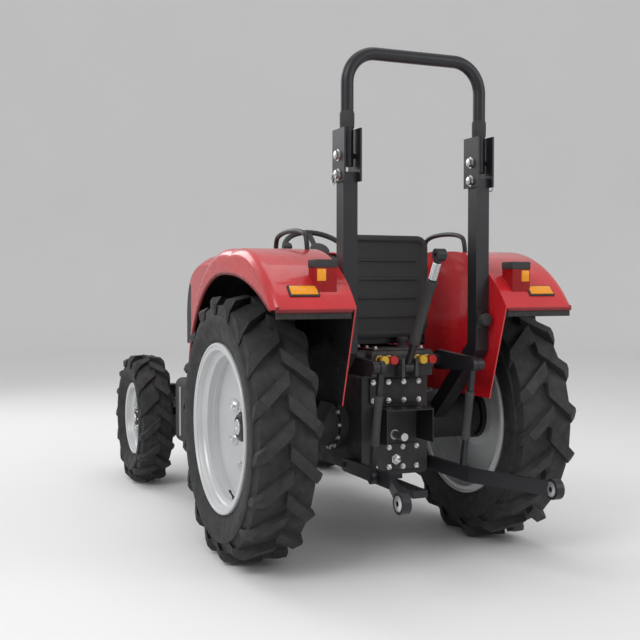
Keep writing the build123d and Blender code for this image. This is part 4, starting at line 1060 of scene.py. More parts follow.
    def clamps(self) -> None:
        """Clamp plates with their bolts on the slope of the disc."""
        seat = self.centre + self.axis * self.clamp_y
        places = ring(seat, self.axis, self.clamp_circle, self.nuts, self.clamp_lean, 0.5)
        size = self.nut_radius
        plate = block(f"clamp_plates_{self.name}", (-size * 1.7, -size * 1.7, -0.004),
                      (size * 1.7, size * 1.7, 0.006), 0.004)
        self.keep(stamp(plate, places), WHEEL_SILVER, self.body)
        raised = [(point + Vector(axis).normalized() * 0.006, axis) for point, axis in places]
        self.keep(bolts(f"clamp_bolts_{self.name}", raised, size, size * 1.1), ZINC_NUT, self.body)

    def valve(self) -> None:
        """Tyre valve that leans out of the rim's well."""
        well_r, well_y = self.well
        foot = self.centre + DOWN * (well_r - 0.001) + self.axis * (well_y * 0.5 + self.disc_y * 0.5)
        lean = (self.axis * 0.55 + UP).normalized()
        stem = lathe(f"tyre_valve_{self.name}", (foot, lean),
                     [(-0.002, 0.009), (0.008, 0.008), (0.012, 0.0042), (0.034, 0.0042), (0.034, 0.0052),
                      (0.046, 0.0052), (0.048, 0.003), (0.048, 0.0)], steps=16)
        self.keep(stem, SOFT_RUBBER, self.body, slot="tyre")


@dataclass
class Hood(SubAssembly):
    """Hood lid: red shell, silver side panels, vents and lamps."""

    panel_rear: float = 0.10
    panel_front: float = 0.24
    panel_low: float = 0.10
    panel_top: float = 0.400
    panel_drop: float = 0.085
    sheet: float = 0.004
    vents: int = 7
    lamp_inner: float = 0.095
    line_y: float = 0.115

    def build(self) -> None:
        """Dresses the lid and fits its panels and lamps."""
        self.dress(BODY_RED, "hood")
        self.dress(BLACK_PLASTIC, "grille_mask", "grille")
        self.dress(LENS_CLEAR, "headlamps")
        for side in Side:
            self.side_panel(side)
            self.vent_row(side)
            self.lamp_bowl(side)
        self.ridge()

    def on_flank(self, piece: bpy.types.Object, sign: int, offset: float) -> None:
        """Presses a flat sheet on the hood's flank.

        Args:
            piece: The sheet, standing outside the flank.
            sign: The flank's side.
            offset: How far it stands off.
        """
        wrap = piece.modifiers.new("wrap", "SHRINKWRAP")
        wrap.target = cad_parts["hood"]
        wrap.wrap_method = "PROJECT"
        wrap.use_project_y = True
        wrap.use_positive_direction = sign < 0
        wrap.use_negative_direction = sign > 0
        wrap.offset = offset
        apply(piece, wrap)

    def side_panel(self, side: Side) -> None:
        """Silver panel along a flank, cut back at both ends.

        Args:
            side: Which flank.
        """
        low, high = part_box("hood")
        sign = side.value
        start = Vector((low.x + self.panel_rear, sign * (high.y + 0.05), low.z + self.panel_low))
        end = Vector((high.x - self.panel_front, start.y, low.z + self.panel_top))
        deselect()
        bpy.ops.mesh.primitive_grid_add(x_subdivisions=36, y_subdivisions=10, size=1,
                                        location=(start + end) / 2)
        panel = fresh(f"hood_panel_{side.word}")
        panel.rotation_euler = (math.pi / 2, 0, 0)
        panel.scale = (end.x - start.x, end.z - start.z, 1)
        settle(panel)
        slope = Vector((self.panel_drop, 0, 0.55))
        nose = Vector((1.0, 0, 0.55))
        heel = Vector((-1.0, 0, 0.25))
        cuts = [(end - Vector((0.5, 0, 0)), slope), (end - Vector((0.05, 0, 0.06)), nose),
                (start + Vector((0.03, 0, 0.03)), heel)]
        with editing(panel):
            for point, normal in cuts:
                bpy.ops.mesh.select_all(action="SELECT")
                bpy.ops.mesh.bisect(plane_co=point, plane_no=normal, clear_outer=True, clear_inner=False)
        self.on_flank(panel, sign, 0.002)
        skin = panel.modifiers.new("skin", "SOLIDIFY")
        skin.thickness = self.sheet
        skin.offset = 0
        apply(panel, skin)
        with editing(panel):
            bpy.ops.mesh.select_all(action="SELECT")
            bpy.ops.mesh.normals_make_consistent(inside=False)
        round_edges(panel, 0.0015, 2, 50)
        self.keep(panel, PANEL_SILVER, "hood_lid")

    def vent_row(self, side: Side) -> None:
        """Row of leaning air slots in the rear of a panel.

        Args:
            side: Which flank.
        """
        low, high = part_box("hood")
        sign = side.value
        slot = block(f"hood_vents_{side.word}", (-0.007, -0.055, -0.004), (0.007, 0.055, 0.0025), 0.0024)
        slot.rotation_euler = (0, 0, -sign * 0.45)
        settle(slot)
        places = []
        for row in range(self.vents):
            point = Vector((low.x + 0.24 + row * 0.045, sign * (high.y + self.sheet), low.z + 0.26))
            places.append((point, side.out))
        self.keep(stamp(slot, places), BLACK_PLASTIC, "hood_lid")

    def lamp_bowl(self, side: Side) -> None:
        """Bright reflector bowls inside a headlamp.

        Args:
            side: Which lamp.
        """
        low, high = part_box("headlamps")
        width = high.y - self.lamp_inner
        bowls = lathe(f"lamp_bowls_{side.word}", (Vector(), UP),
                      [(0.0, 0.010), (0.004, 0.018), (0.012, 0.027), (0.026, 0.034), (0.028, 0.034),
                       (0.026, 0.036), (0.004, 0.024), (-0.002, 0.010), (0.0, 0.010)], steps=28)
        places = []
        for share in (0.27, 0.73):
            y = side.value * (self.lamp_inner + width * share)
            places.append((Vector((low.x + 0.055, y, (low.z + high.z) / 2)), AHEAD))
        self.keep(stamp(bowls, places), BRIGHT_STEEL, "hood_lid", slot="lamp_clear")

    def ridge(self) -> None:
        """Two pressed lines along the hood's top."""
        low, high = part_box("hood")
        for side in Side:
            y = side.value * self.line_y
            strip = block(f"hood_line_{side.word}", (low.x + 0.02, y - 0.004, high.z - 0.001),
                          (low.x + 0.62, y + 0.004, high.z + 0.0025), 0.0015)
            self.keep(strip, BODY_RED, "hood_lid")


@dataclass
class Fenders(SubAssembly):
    """Fenders: red skins, rolled lips, lamps, reflectors and hand rails."""

    lip: float = 0.009
    arch_front: tuple[float, float] = (0.613, 0.790)
    arch_mid: tuple[float, float] = (0.452, 1.116)
    arch_top: tuple[float, float] = (0.0, 1.285)
    arch_back: tuple[float, float] = (-0.320, 1.238)
    arch_tail: tuple[float, float] = (-0.560, 1.132)
    crown: tuple[float, float] = (-0.060, 1.388)
    back: tuple[float, float] = (-0.470, 1.282)
    tail: tuple[float, float] = (-0.610, 1.140)
    reflector_y: float = 0.565
    lamp_width: float = 0.090

    def build(self) -> None:
        """Dresses both fenders and fits their edges and lamps."""
        self.dress(FENDER_RED_AND_SHADE, "fender_left", "fender_right")
        self.dress(LENS_RED, "tail_lamps")
        for side in Side:
            self.arch_lip(side)
            self.tail_edge(side)
            self.reflector(side)
            self.lamp_frame(side)
            self.grab_rail(side)

    def spot(self, place: tuple[float, float], y: float) -> Vector:
        """Point of the fender's outline at a y."""
        return DATUM.at(place[0], y, place[1])

    def arch_lip(self, side: Side) -> None:
        """Rolled lip along the wheel arch.

        Args:
            side: Which fender.
        """
        low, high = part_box(f"fender_{side.word}")
        y = (high.y if side is Side.LEFT else low.y) - side.value * self.lip * 0.7
        front = arc(self.spot(self.arch_front, y), self.spot(self.arch_mid, y), self.spot(self.arch_top, y),
                    18)
        back = arc(self.spot(self.arch_top, y), self.spot(self.arch_back, y), self.spot(self.arch_tail, y),
                   14)
        # The lip is in the darker red that paints shade on the roll.
        self.keep(pipe(f"fender_lip_{side.word}", front + back[1:], self.lip, soft=False), SHADED_LIP_RED)

    def tail_edge(self, side: Side) -> None:
        """Folded edge across the fender's tail, with a rubber strip under it.

        Args:
            side: Which fender.
        """
        low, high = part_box(f"fender_{side.word}")
        tail = self.spot(self.tail, 0)
        fold = block(f"fender_tail_{side.word}", (tail.x + 0.002, low.y + 0.012, tail.z - 0.020),
                     (tail.x + 0.016, high.y - 0.012, tail.z + 0.004), 0.005, 3)
        # The fold is in the darker red that paints shade on it.
        self.keep(fold, SHADED_LIP_RED)
        strip = block(f"fender_strip_{side.word}", (tail.x + 0.010, low.y + 0.016, tail.z - 0.045),
                      (tail.x + 0.022, high.y - 0.016, tail.z - 0.012), 0.003)
        self.keep(strip, SOFT_RUBBER)

    def lamp_frame(self, side: Side) -> None:
        """Black hood and amber half of a tail lamp.

        Args:
            side: Which lamp.
        """
        low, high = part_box("tail_lamps")
        outer = high.y if side is Side.LEFT else low.y
        inner = outer - side.value * self.lamp_width
        near, far = min(inner, outer), max(inner, outer)
        frame_bar = block(f"lamp_frame_{side.word}", (low.x - 0.003, near - 0.004, high.z - 0.030),
                          (high.x + 0.003, far + 0.004, high.z + 0.004), 0.006, 3)
        self.keep(frame_bar, BLACK_PLASTIC)
        half = (inner + outer) / 2
        edges = sorted((half + side.value * 0.002, outer - side.value * 0.004))
        amber = block(f"lamp_amber_{side.word}", (low.x - 0.0025, edges[0], low.z + 0.045),
                      (low.x + 0.004, edges[1], high.z - 0.034), 0.002)
        self.keep(amber, LENS_AMBER)

    def reflector(self, side: Side) -> None:
        """Amber reflector in its black frame on the fender's tail.

        Args:
            side: Which fender.
        """
        y = side.value * self.reflector_y
        centre = arc_centre(self.spot(self.crown, y), self.spot(self.back, y), self.spot(self.tail, y))
        tail, back = self.spot(self.tail, y) - centre, self.spot(self.back, y) - centre
        radius = tail.length
        out = tail.normalized().lerp(back.normalized(), 0.42)
        out.normalize()
        point = centre + out * radius
        base = pad(f"reflector_frame_{side.word}", (point - out * 0.004, out), (0.060, 0.130, 0.010), 0.003)
        self.keep(base, BLACK_PLASTIC)
        lens = pad(f"reflector_{side.word}", (point + out * 0.004, out), (0.046, 0.116, 0.006), 0.0025)
        self.keep(lens, LENS_AMBER)

    def grab_rail(self, side: Side) -> None:
        """Hand rail on the fender's inner top edge.

        Args:
            side: Which fender.
        """
        low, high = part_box(f"fender_{side.word}")
        y = (low.y if side is Side.LEFT else high.y) + side.value * 0.045
        top = high.z
        points = [DATUM.at(0.20, y, top - 0.075), DATUM.at(0.20, y, top + 0.045),
                  DATUM.at(0.14, y, top + 0.075), DATUM.at(0.0, y, top + 0.085),
                  DATUM.at(-0.14, y, top + 0.075), DATUM.at(-0.20, y, top + 0.045),
                  DATUM.at(-0.20, y, top - 0.075)]
        self.keep(pipe(f"grab_rail_{side.word}", points, 0.011), CHASSIS_BLACK)


@dataclass
class Seat(SubAssembly):
    """Driver's seat: stuffed vinyl pads with sewn channels, on a black pan."""

    voxel: float = 0.0065
    frames: int = 20
    channel: float = 0.078
    groove: float = 0.010
    shell_low: float = 0.992
    plate_y: float = 0.2035

    def build(self) -> None:
        """Dresses the pan and makes the shell, bellows, hinge plates and pads."""
        self.dress(CHASSIS_BLACK, "seat_base")
        self.back_shell()
        self.bellows()
        for side in Side:
            self.arm_bracket(side)
        for node, swell, up in (("seat_cushion", 0.014, UP), ("seat_back", 0.012, AHEAD)):
            self.stuffed(node, swell, up)

    def back_shell(self) -> None:
        """Moulded shell behind the backrest, its middle sunk and ribbed."""
        low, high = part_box("seat_back")
        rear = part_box("seat_base")[0].x
        shell = block("seat_shell", (rear - 0.022, low.y + 0.006, self.shell_low),
                      (rear + 0.004, high.y - 0.006, high.z - 0.012), 0)
        with editing(shell) as mesh:
            bpy.ops.mesh.select_mode(type="EDGE")
            bpy.ops.mesh.select_all(action="DESELECT")
            for edge in mesh.edges:
                start, end = (vertex.co for vertex in edge.verts)
                edge.select_set(abs(start.x - end.x) > 0.015)
            bpy.ops.mesh.bevel(offset=0.055, segments=6, affect="EDGES")
            pick_faces(mesh, lambda centre, normal: normal.x < -0.9)
            bpy.ops.mesh.inset(thickness=0.022, depth=0.004)
            bpy.ops.mesh.inset(thickness=0.010, depth=-0.012)
        round_edges(shell, 0.003, 2, 30)
        rib = block("shell_ribs", (-0.005, -0.150, 0), (0.005, 0.150, 0.009), 0.003)
        places = []
        for row in range(4):
            places.append((Vector((rear - 0.013, 0, 1.09 + row * 0.085)), BACK))
        self.keep(shell, BLACK_PLASTIC)
        self.keep(stamp(rib, places), BLACK_PLASTIC)

    def bellows(self) -> None:
        """Folded rubber round the seat's pedestal."""
        low, high = DATUM.at(0.105, -0.140, 0.832), DATUM.at(0.325, 0.140, 0.962)
        folds = []
        for row in range(5):
            level = low.z + 0.026 * row
            grow = Vector((0.014, 0.014, 0))
            start = Vector((low.x, low.y, level)) - grow
            end = Vector((high.x, high.y, level + 0.025)) + grow
            folds.append(block(f"seat_bellows_{row}", start, end, 0.011, 3))
        choose(*folds)
        bpy.ops.object.join()
        self.keep(fresh("seat_bellows"), SOFT_RUBBER)

    def arm_bracket(self, side: Side) -> None:
        """Hinge plate between the pan and the backrest, with its bolts.

        Args:
            side: Which plate.
        """
        sign = side.value
        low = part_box("seat_base")[0]
        y = sign * self.plate_y
        near, far = sorted((y, y + sign * 0.007))
        plate = block(f"recliner_{side.word}", (low.x + 0.002, near, 0.955), (low.x + 0.115, far, 1.115),
                      0.003)
        with editing(plate) as mesh:
            pick_faces(mesh, lambda centre, normal: normal.z > 0.9)
            bpy.ops.transform.resize(value=(0.45, 1, 1))
            bpy.ops.transform.translate(value=(-0.028, 0, 0))
        self.keep(plate, CHASSIS_BLACK)
        out = side.out
        seat = Vector((low.x, y + sign * 0.007, 0))
        places = [(seat + Vector((0.030, 0, 1.085)), out), (seat + Vector((0.030, 0, 0.985)), out),
                  (seat + Vector((0.085, 0, 0.975)), out)]
        self.keep(bolts(f"recliner_bolts_{side.word}", places, 0.010, 0.009), ZINC_NUT)

    def stuffed(self, node: str, swell: float, up: Vector) -> None:
        """Stuffed pad in the space of a plain solid.

        Args:
            node: The solid that it replaces.
            swell: How far a point may move as the pad fills.
            up: The way the pad's top faces.
        """
        low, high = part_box(node)
        shrink = Vector((1, 1, 1)) * swell * 0.75
        piece = block(f"{node}_pad", low + shrink - up * shrink.x, high - shrink, 0.030, 4)
        self.voxels(piece)
        self.fill(piece, swell, low, up)
        self.sew(piece, up, high)
        finer = piece.modifiers.new("finer", "SUBSURF")
        finer.levels = 1
        finer.render_levels = 1
        apply(piece, finer)
        self.keep(piece, SEAT_VINYL)
        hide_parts(node)
        self.piping(node, low, high, up)

    def voxels(self, piece: bpy.types.Object) -> None:
        """Gives a pad an even mesh."""
        remesh = piece.modifiers.new("voxels", "REMESH")
        remesh.mode = "VOXEL"
        remesh.voxel_size = self.voxel
        apply(piece, remesh)

    def fill(self, piece: bpy.types.Object, swell: float, low: Vector, up: Vector) -> None:
        """Fills a pad by cloth under pressure, its underside held.

        Args:
            piece: The pad.
            swell: How far a point may move.
            low: The solid's lowest corner.
            up: The way the pad's top faces.
        """
        start = [vertex.co.copy() for vertex in piece.data.vertices]
        held = piece.vertex_groups.new(name="held")
        base = low.dot(up) + 0.02
        held.add([v.index for v in piece.data.vertices if v.co.dot(up) < base], 1.0, "REPLACE")
        cloth = piece.modifiers.new("air", "CLOTH")
        cloth.settings.use_pressure = True
        cloth.settings.uniform_pressure_force = 4.0
        cloth.settings.effector_weights.gravity = 0.0
        cloth.settings.vertex_group_mass = "held"
        cloth.point_cache.frame_start = 1
        cloth.point_cache.frame_end = self.frames
        for step in range(1, self.frames + 1):
            bpy.context.scene.frame_set(step)
        apply(piece, cloth)
        bpy.context.scene.frame_set(1)
        for vertex, before in zip(piece.data.vertices, start):
            move = vertex.co - before
            if move.length > swell:
                vertex.co = before + move.normalized() * swell

    def sew(self, piece: bpy.types.Object, up: Vector, high: Vector) -> None:
        """Presses sewn channels and a seat hollow into a pad's top.

        Args:
            piece: The pad.
            up: The way the pad's top faces.
            high: The solid's highest corner.
        """
        for vertex in piece.data.vertices:
            depth = high.dot(up) - vertex.co.dot(up)
            if depth > 0.045:
                continue
            fade = 1.0 - max(0.0, depth) / 0.045
            dip = sum(math.exp(-((abs(vertex.co.y) - line) / 0.010) ** 2)
                      for line in (self.channel, self.channel * 2))
            hollow = 0.016 * math.exp(-(vertex.co.y / 0.14) ** 2)
            vertex.co -= up * fade * (self.groove * dip + hollow)

    def piping(self, node: str, low: Vector, high: Vector, up: Vector) -> None:
        """Piping round a pad's upper edge.

        Args:
            node: The solid's name.
            low: Its lowest corner.
            high: Its highest corner.
            up: The way the pad's top faces.
        """
        inset = 0.014
        level = high.dot(up) - 0.030
        first = Vector((0, 1, 0))
        second = first.cross(up) if up.z else UP
        middle_point = (low + high) / 2
        half_first = (high - low).dot(first) / 2 - inset
        half_second = abs((high - low).dot(second)) / 2 - inset
        points = []
        for step in range(33):
            angle = TURN * step / 32
            wide, deep = math.cos(angle), math.sin(angle)
            square = max(abs(wide), abs(deep)) ** 0.72
            flat = middle_point - up * middle_point.dot(up) + up * level
            points.append(flat + first * (half_first * wide / square)
                          + second * (half_second * deep / square))
        self.keep(pipe(f"{node}_piping", points, 0.004), SEAT_VINYL)


@dataclass
class DriverStation(SubAssembly):
    """Dash, steering wheel, levers, pedals and footplates."""

    dial_radius: float = 0.062
    dial_centre: tuple[float, float, float] = (0.770, 0.0, 1.3225)
    dash_slope: tuple[float, float, float] = (-0.724, 0.0, 0.690)
    column_tilt: float = 50.0
    case_top: float = 0.800
    floor_top: float = 0.656
    step_top: float = 0.376
    mat: float = 0.005
    pedals: tuple[float, float, float] = (0.300, -0.270, -0.360)

    def build(self) -> None:
        """Dresses the station and fits its dials, boots and mats."""
        self.dress(BLACK_PLASTIC, "dash_console", "steering_wheel", "fuel_tank", "battery")
        self.dress(CHASSIS_BLACK, "platform", "controls", "tool_box")
        self.dials()
        self.wheel_hub()
        self.lever_boots()
        self.pedal_rubbers()
        for side in Side:
            self.floor_mat(side)
        self.tank_fittings()

    def dials(self) -> None:
        """Three round dials on the dash's slope, with needles and bezels."""
        slope = Vector(self.dash_slope)
        centre = DATUM.at(*self.dial_centre)
        for name, y, radius in (("speed", 0.0, self.dial_radius), ("fuel", 0.125, 0.040),
                                ("heat", -0.125, 0.040)):
            seat = centre + Vector((0, y, 0))
            bezel = lathe(f"dial_bezel_{name}", (seat, slope),
                          [(-0.004, radius), (0.010, radius), (0.012, radius - 0.003),
                           (0.010, radius - 0.006), (0.004, radius - 0.007), (-0.004, radius - 0.007),
                           (-0.004, radius)])
            self.keep(bezel, BLACK_PLASTIC)
            face = lathe(f"dial_face_{name}", (seat, slope),
                         [(-0.003, radius - 0.0075), (0.003, radius - 0.0075), (0.0035, radius * 0.5),
                          (0.0035, 0.0)])
            self.keep(face, DIAL_WHITE)
            along = Vector((0.69, 0, 0.724)) * 0.8 + Vector((0, 0.6, 0))
            needle = pipe(f"dial_needle_{name}",
                          [seat + slope * 0.006, seat + slope * 0.006 + along * radius * 0.75], 0.0016,
                          soft=False)
            self.keep(needle, KNOB_RED)

    def wheel_hub(self) -> None:
        """Padded hub and spinner knob of the steering wheel."""
        low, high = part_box("steering_wheel")
        centre = (low + high) / 2
        tilt = math.radians(self.column_tilt)
        axis = Vector((-math.cos(tilt), 0, math.sin(tilt)))
        cap = lathe("steering_hub", (centre, axis),
                    [(0.020, 0.052), (0.030, 0.052), (0.036, 0.046), (0.040, 0.030), (0.041, 0.0)])
        self.keep(cap, BLACK_PLASTIC, "steering_wheel_body")
        rim = centre + Vector((0, 0.185, 0))
        knob = lathe("spinner_knob", (rim, axis),
                     [(0.012, 0.012), (0.020, 0.010), (0.030, 0.020), (0.046, 0.024), (0.058, 0.018),
                      (0.063, 0.0)])
        self.keep(knob, BLACK_PLASTIC, "steering_wheel_body")

    def lever_boots(self) -> None:
        """Rubber boots at the levers' feet, and coloured grips."""
        rows = (("main", 0.640, 0.070, 0.060, 0.330, 0.024, BLACK_PLASTIC),
                ("range", 0.560, -0.080, 0.030, 0.260, 0.022, KNOB_YELLOW),
                ("drive", 0.500, 0.100, 0.030, 0.200, 0.020, KNOB_RED))
        for name, x, y, lean, height, knob, finish in rows:
            axis = Vector((lean, 0, height)).normalized()
            boot = lathe(f"lever_boot_{name}", (DATUM.at(x, y, self.case_top + 0.002), axis),
                         [(0.010, 0.036), (0.016, 0.030), (0.022, 0.031), (0.028, 0.023), (0.034, 0.024),
                          (0.042, 0.016), (0.050, 0.010), (0.050, 0.0085)], steps=24)
            self.keep(boot, SOFT_RUBBER)
            grip = lathe(f"lever_grip_{name}", (DATUM.at(x + lean, y, self.case_top + height), axis),
                         [(-knob * 1.4, 0.0105), (-knob * 1.0, knob * 0.72), (-knob * 0.3, knob * 1.03),
                          (knob * 0.3, knob * 1.06), (knob * 0.9, knob * 0.66), (knob * 1.1, 0.0)], steps=28)
            self.keep(grip, finish, slot="black_plastic")

    def pedal_rubbers(self) -> None:
        """Ribbed rubber pads on the three pedals."""
        for number, y in enumerate(self.pedals):
            low, high = DATUM.at(0.767, y - 0.040, 0.801), DATUM.at(0.817, y + 0.040, 0.806)
            plate = block(f"pedal_pad_{number}", low, high, 0.002)
            rib = block(f"pedal_ribs_{number}", (-0.021, -0.003, 0), (0.021, 0.003, 0.005), 0.0012, 1)
            places = [(Vector(((low.x + high.x) / 2, y + (step - 3) * 0.011, high.z - 0.001)), UP)
                      for step in range(7)]
            ribs = stamp(rib, places)
            choose(plate, ribs)
            bpy.ops.object.join()
            self.keep(plate, SOFT_RUBBER)

    def floor_mat(self, side: Side) -> None:
        """Ribbed mat on a footplate, and a toothed tread on the step.

        Args:
            side: Which footplate.
        """
        sign = side.value
        top = self.floor_top
        low, high = DATUM.at(0.345, sign * 0.165, top), DATUM.at(0.735, sign * 0.450, top + self.mat)
        mat = block(f"floor_mat_{side.word}", low, high, 0.002)
        rib = block(f"floor_ribs_{side.word}", (-0.180, -0.005, 0), (0.180, 0.005, 0.004), 0.0015, 1)
        centre = (low + high) / 2
        places = [(Vector((centre.x, centre.y + (step - 6) * 0.021, high.z - 0.001)), UP)
                  for step in range(13)]
        ribs = stamp(rib, places)
        choose(mat, ribs)
        bpy.ops.object.join()
        self.keep(mat, SOFT_RUBBER)
        tooth = lathe(f"step_tread_{side.word}", (Vector(), UP),
                      [(0, 0.011), (0.004, 0.0095), (0.004, 0.006), (0.0005, 0.0055), (0.0, 0.0055),
                       (0, 0.011)], steps=14)
        places = []
        for row in range(3):
            for step in range(7):
                places.append((DATUM.at(0.720 + step * 0.030, sign * (0.530 + row * 0.038), self.step_top),
                               UP))
        self.keep(stamp(tooth, places), CHASSIS_BLACK)

    def tank_fittings(self) -> None:
        """Filler cap, straps, box lid and latch."""
        low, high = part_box("fuel_tank")
        cap = lathe("filler_cap", (Vector((low.x + 0.10, (low.y + high.y) / 2, high.z - 0.002)), UP),
                    [(0, 0.046), (0.012, 0.046), (0.014, 0.040), (0.030, 0.040), (0.034, 0.036),
                     (0.034, 0.014), (0.044, 0.012), (0.044, 0.0)])
        self.keep(cap, BLACK_PLASTIC)
        for number, share in enumerate((0.22, 0.78)):
            x = low.x + (high.x - low.x) * share
            strap = block(f"tank_strap_{number}", (x - 0.018, high.y - 0.002, low.z + 0.045),
                          (x + 0.018, high.y + 0.003, high.z - 0.045), 0.0012)
            self.keep(strap, BRIGHT_STEEL)
        low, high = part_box("tool_box")
        lid = block("tool_box_lid", (low.x - 0.006, low.y - 0.006, high.z - 0.075),
                    (high.x + 0.006, high.y - 0.03, high.z + 0.006), 0.012, 3)
        self.keep(lid, BLACK_PLASTIC)
        latch = block("tool_box_latch", ((low.x + high.x) / 2 - 0.02, low.y - 0.012, high.z - 0.11),
                      ((low.x + high.x) / 2 + 0.02, low.y + 0.002, high.z - 0.05), 0.004)
        self.keep(latch, BRIGHT_STEEL)


@dataclass
class EngineBay(SubAssembly):
    """Engine, radiator and exhaust, with their pipes, air cleaner and guard."""

    muffler: tuple[float, float] = (1.090, -0.400)
    guard_low: float = 0.99
    clamp_levels: tuple[float, float] = (0.972, 1.317)
    cleaner: tuple[float, float, float] = (1.150, -0.060, 1.292)
    flange_y: float = 0.205
    flange_circle: float = 0.114
    bell_y: float = 0.215

    def build(self) -> None:
        """Dresses the bay and fits its pipes."""
        self.dress(CAST_IRON, "engine", "gearbox", "rear_axle", "lift_housing")
        self.dress(CORE_BLACK, "radiator")
        self.dress(EXHAUST_BLACK, "exhaust")
        self.injector_lines()
        self.air_cleaner()
        self.coolant_pipe()
        self.dipstick()
        self.muffler_guard()
        self.case_bolts()

    def injector_lines(self) -> None:
        """Steel fuel lines from the pump to the head."""
        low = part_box("engine")[0]
        for number in range(4):
            x = low.x + 0.27 + number * 0.085
            points = [Vector((low.x + 0.30 + number * 0.03, 0.215, 0.828)),
                      Vector((low.x + 0.30 + number * 0.03, 0.222, 0.92)), Vector((x, 0.218, 1.00)),
                      Vector((x, 0.190, 1.12)), Vector((x, 0.120, 1.135))]
            self.keep(pipe(f"injector_line_{number}", points, 0.004), BRIGHT_STEEL)

    def air_cleaner(self) -> None:
        """Drum of the air cleaner on its saddle, with the steel pipe to the intake."""
        centre = DATUM.at(*self.cleaner)
        drum = lathe("air_cleaner", (centre, AHEAD),
                     [(0, 0), (0, 0.062), (0.008, 0.074), (0.055, 0.076), (0.057, 0.081), (0.068, 0.081),
                      (0.070, 0.076), (0.300, 0.076), (0.315, 0.066), (0.322, 0.036), (0.345, 0.034),
                      (0.345, 0.0)], steps=48)
        self.keep(drum, BLACK_PLASTIC)
        for number, x in enumerate((1.250, 1.420)):
            strap = lathe(f"cleaner_strap_{number}", (DATUM.at(x, *self.cleaner[1:]), AHEAD),
                          band(0.0755, 0.0785, 0.018), steps=48)
            self.keep(strap, BRIGHT_STEEL)
        saddle = block("cleaner_saddle", DATUM.at(1.240, -0.105, 1.188), DATUM.at(1.445, -0.015, 1.228),
                       0.006)
        self.keep(saddle, CHASSIS_BLACK)
        route = [(1.480, -0.060, 1.292), (1.545, -0.060, 1.292), (1.575, -0.010, 1.285),
                 (1.570, 0.130, 1.240), (1.545, 0.185, 1.160), (1.530, 0.184, 1.050)]
        self.keep(pipe("intake_pipe", [DATUM.at(*point) for point in route], 0.027), EXHAUST_BLACK)

    def coolant_pipe(self) -> None:
        """Steel pipe from the engine's head to the radiator's top tank, with its clips."""
        route = [(1.660, 0.040, 1.120), (1.665, 0.040, 1.215), (1.700, 0.045, 1.236), (1.800, 0.055, 1.236),
                 (1.895, 0.055, 1.232)]
        self.keep(pipe("coolant_pipe", [DATUM.at(*point) for point in route], 0.018), CHASSIS_BLACK)
        for number, x in enumerate((1.745, 1.850)):
            clip = lathe(f"coolant_clip_{number}", (DATUM.at(x, 0.054, 1.2345), AHEAD),
                         band(0.0175, 0.0205, 0.012), steps=28)
            self.keep(clip, BRIGHT_STEEL)

    def dipstick(self) -> None:
        """Guide tube of the oil dipstick, with its ring."""
        foot = [DATUM.at(1.600, 0.158, 0.600), DATUM.at(1.604, 0.186, 0.660), DATUM.at(1.575, 0.186, 0.850),
                DATUM.at(1.568, 0.168, 0.965)]
        self.keep(pipe("dipstick_tube", foot, 0.005), CHASSIS_BLACK)
        handle = pipe("dipstick_ring", hoop(foot[-1] + UP * 0.015, 0.014), 0.0025, soft=False)
        self.keep(handle, KNOB_YELLOW, slot="bright_steel")

    def muffler_guard(self) -> None:
        """Heat guard round the muffler, with dark tiles on it as painted shade in place of its slots, and
        clamps.
        """
        centre = DATUM.at(*self.muffler, 0)
        guard = lathe("muffler_guard", (centre + UP * self.guard_low, UP), band(0.066, 0.069, 0.32), steps=36)
        self.keep(guard, EXHAUST_BLACK)
        places = []
        for row in range(4):
            for step in range(14):
                angle = TURN * step / 14
                out = Vector((math.cos(angle), math.sin(angle), 0))
                places.append((centre + out * 0.069 + UP * (1.05 + row * 0.067), out))
        # Dark rubber tiles stand in for the slots: painted shade where one would see into the guard.
        rib = block("guard_slot_shade", (-0.006, -0.006, -0.001), (0.006, 0.006, 0.0014), 0.001, 1)
        self.keep(stamp(rib, places), SOFT_RUBBER, slot="chassis_black")
        for number, level in enumerate(self.clamp_levels):
            clamp = lathe(f"muffler_clamp_{number}", (centre + UP * level, UP), band(0.063, 0.070, 0.016),
                          steps=32)
            self.keep(clamp, BRIGHT_STEEL)

    def case_bolts(self) -> None:
        """Flange bolts of the axle tubes and the bell housing."""
        for side in Side:
            axis = side.out
            seat = Vector((DATUM.rear.x, side.value * self.flange_y, DATUM.rear.z))
            self.keep(bolts(f"axle_bolts_{side.word}", ring(seat, axis, self.flange_circle, 12), 0.010,
                            0.012), ZINC_NUT)
        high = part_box("gearbox")[1]
        places = []
        for side in Side:
            for level in (0.46, 0.56, 0.66, 0.76):
                places.append((Vector((high.x - 0.030, side.value * self.bell_y, level)), side.out))
        self.keep(bolts("bell_bolts", places, 0.011, 0.012), ZINC_NUT)


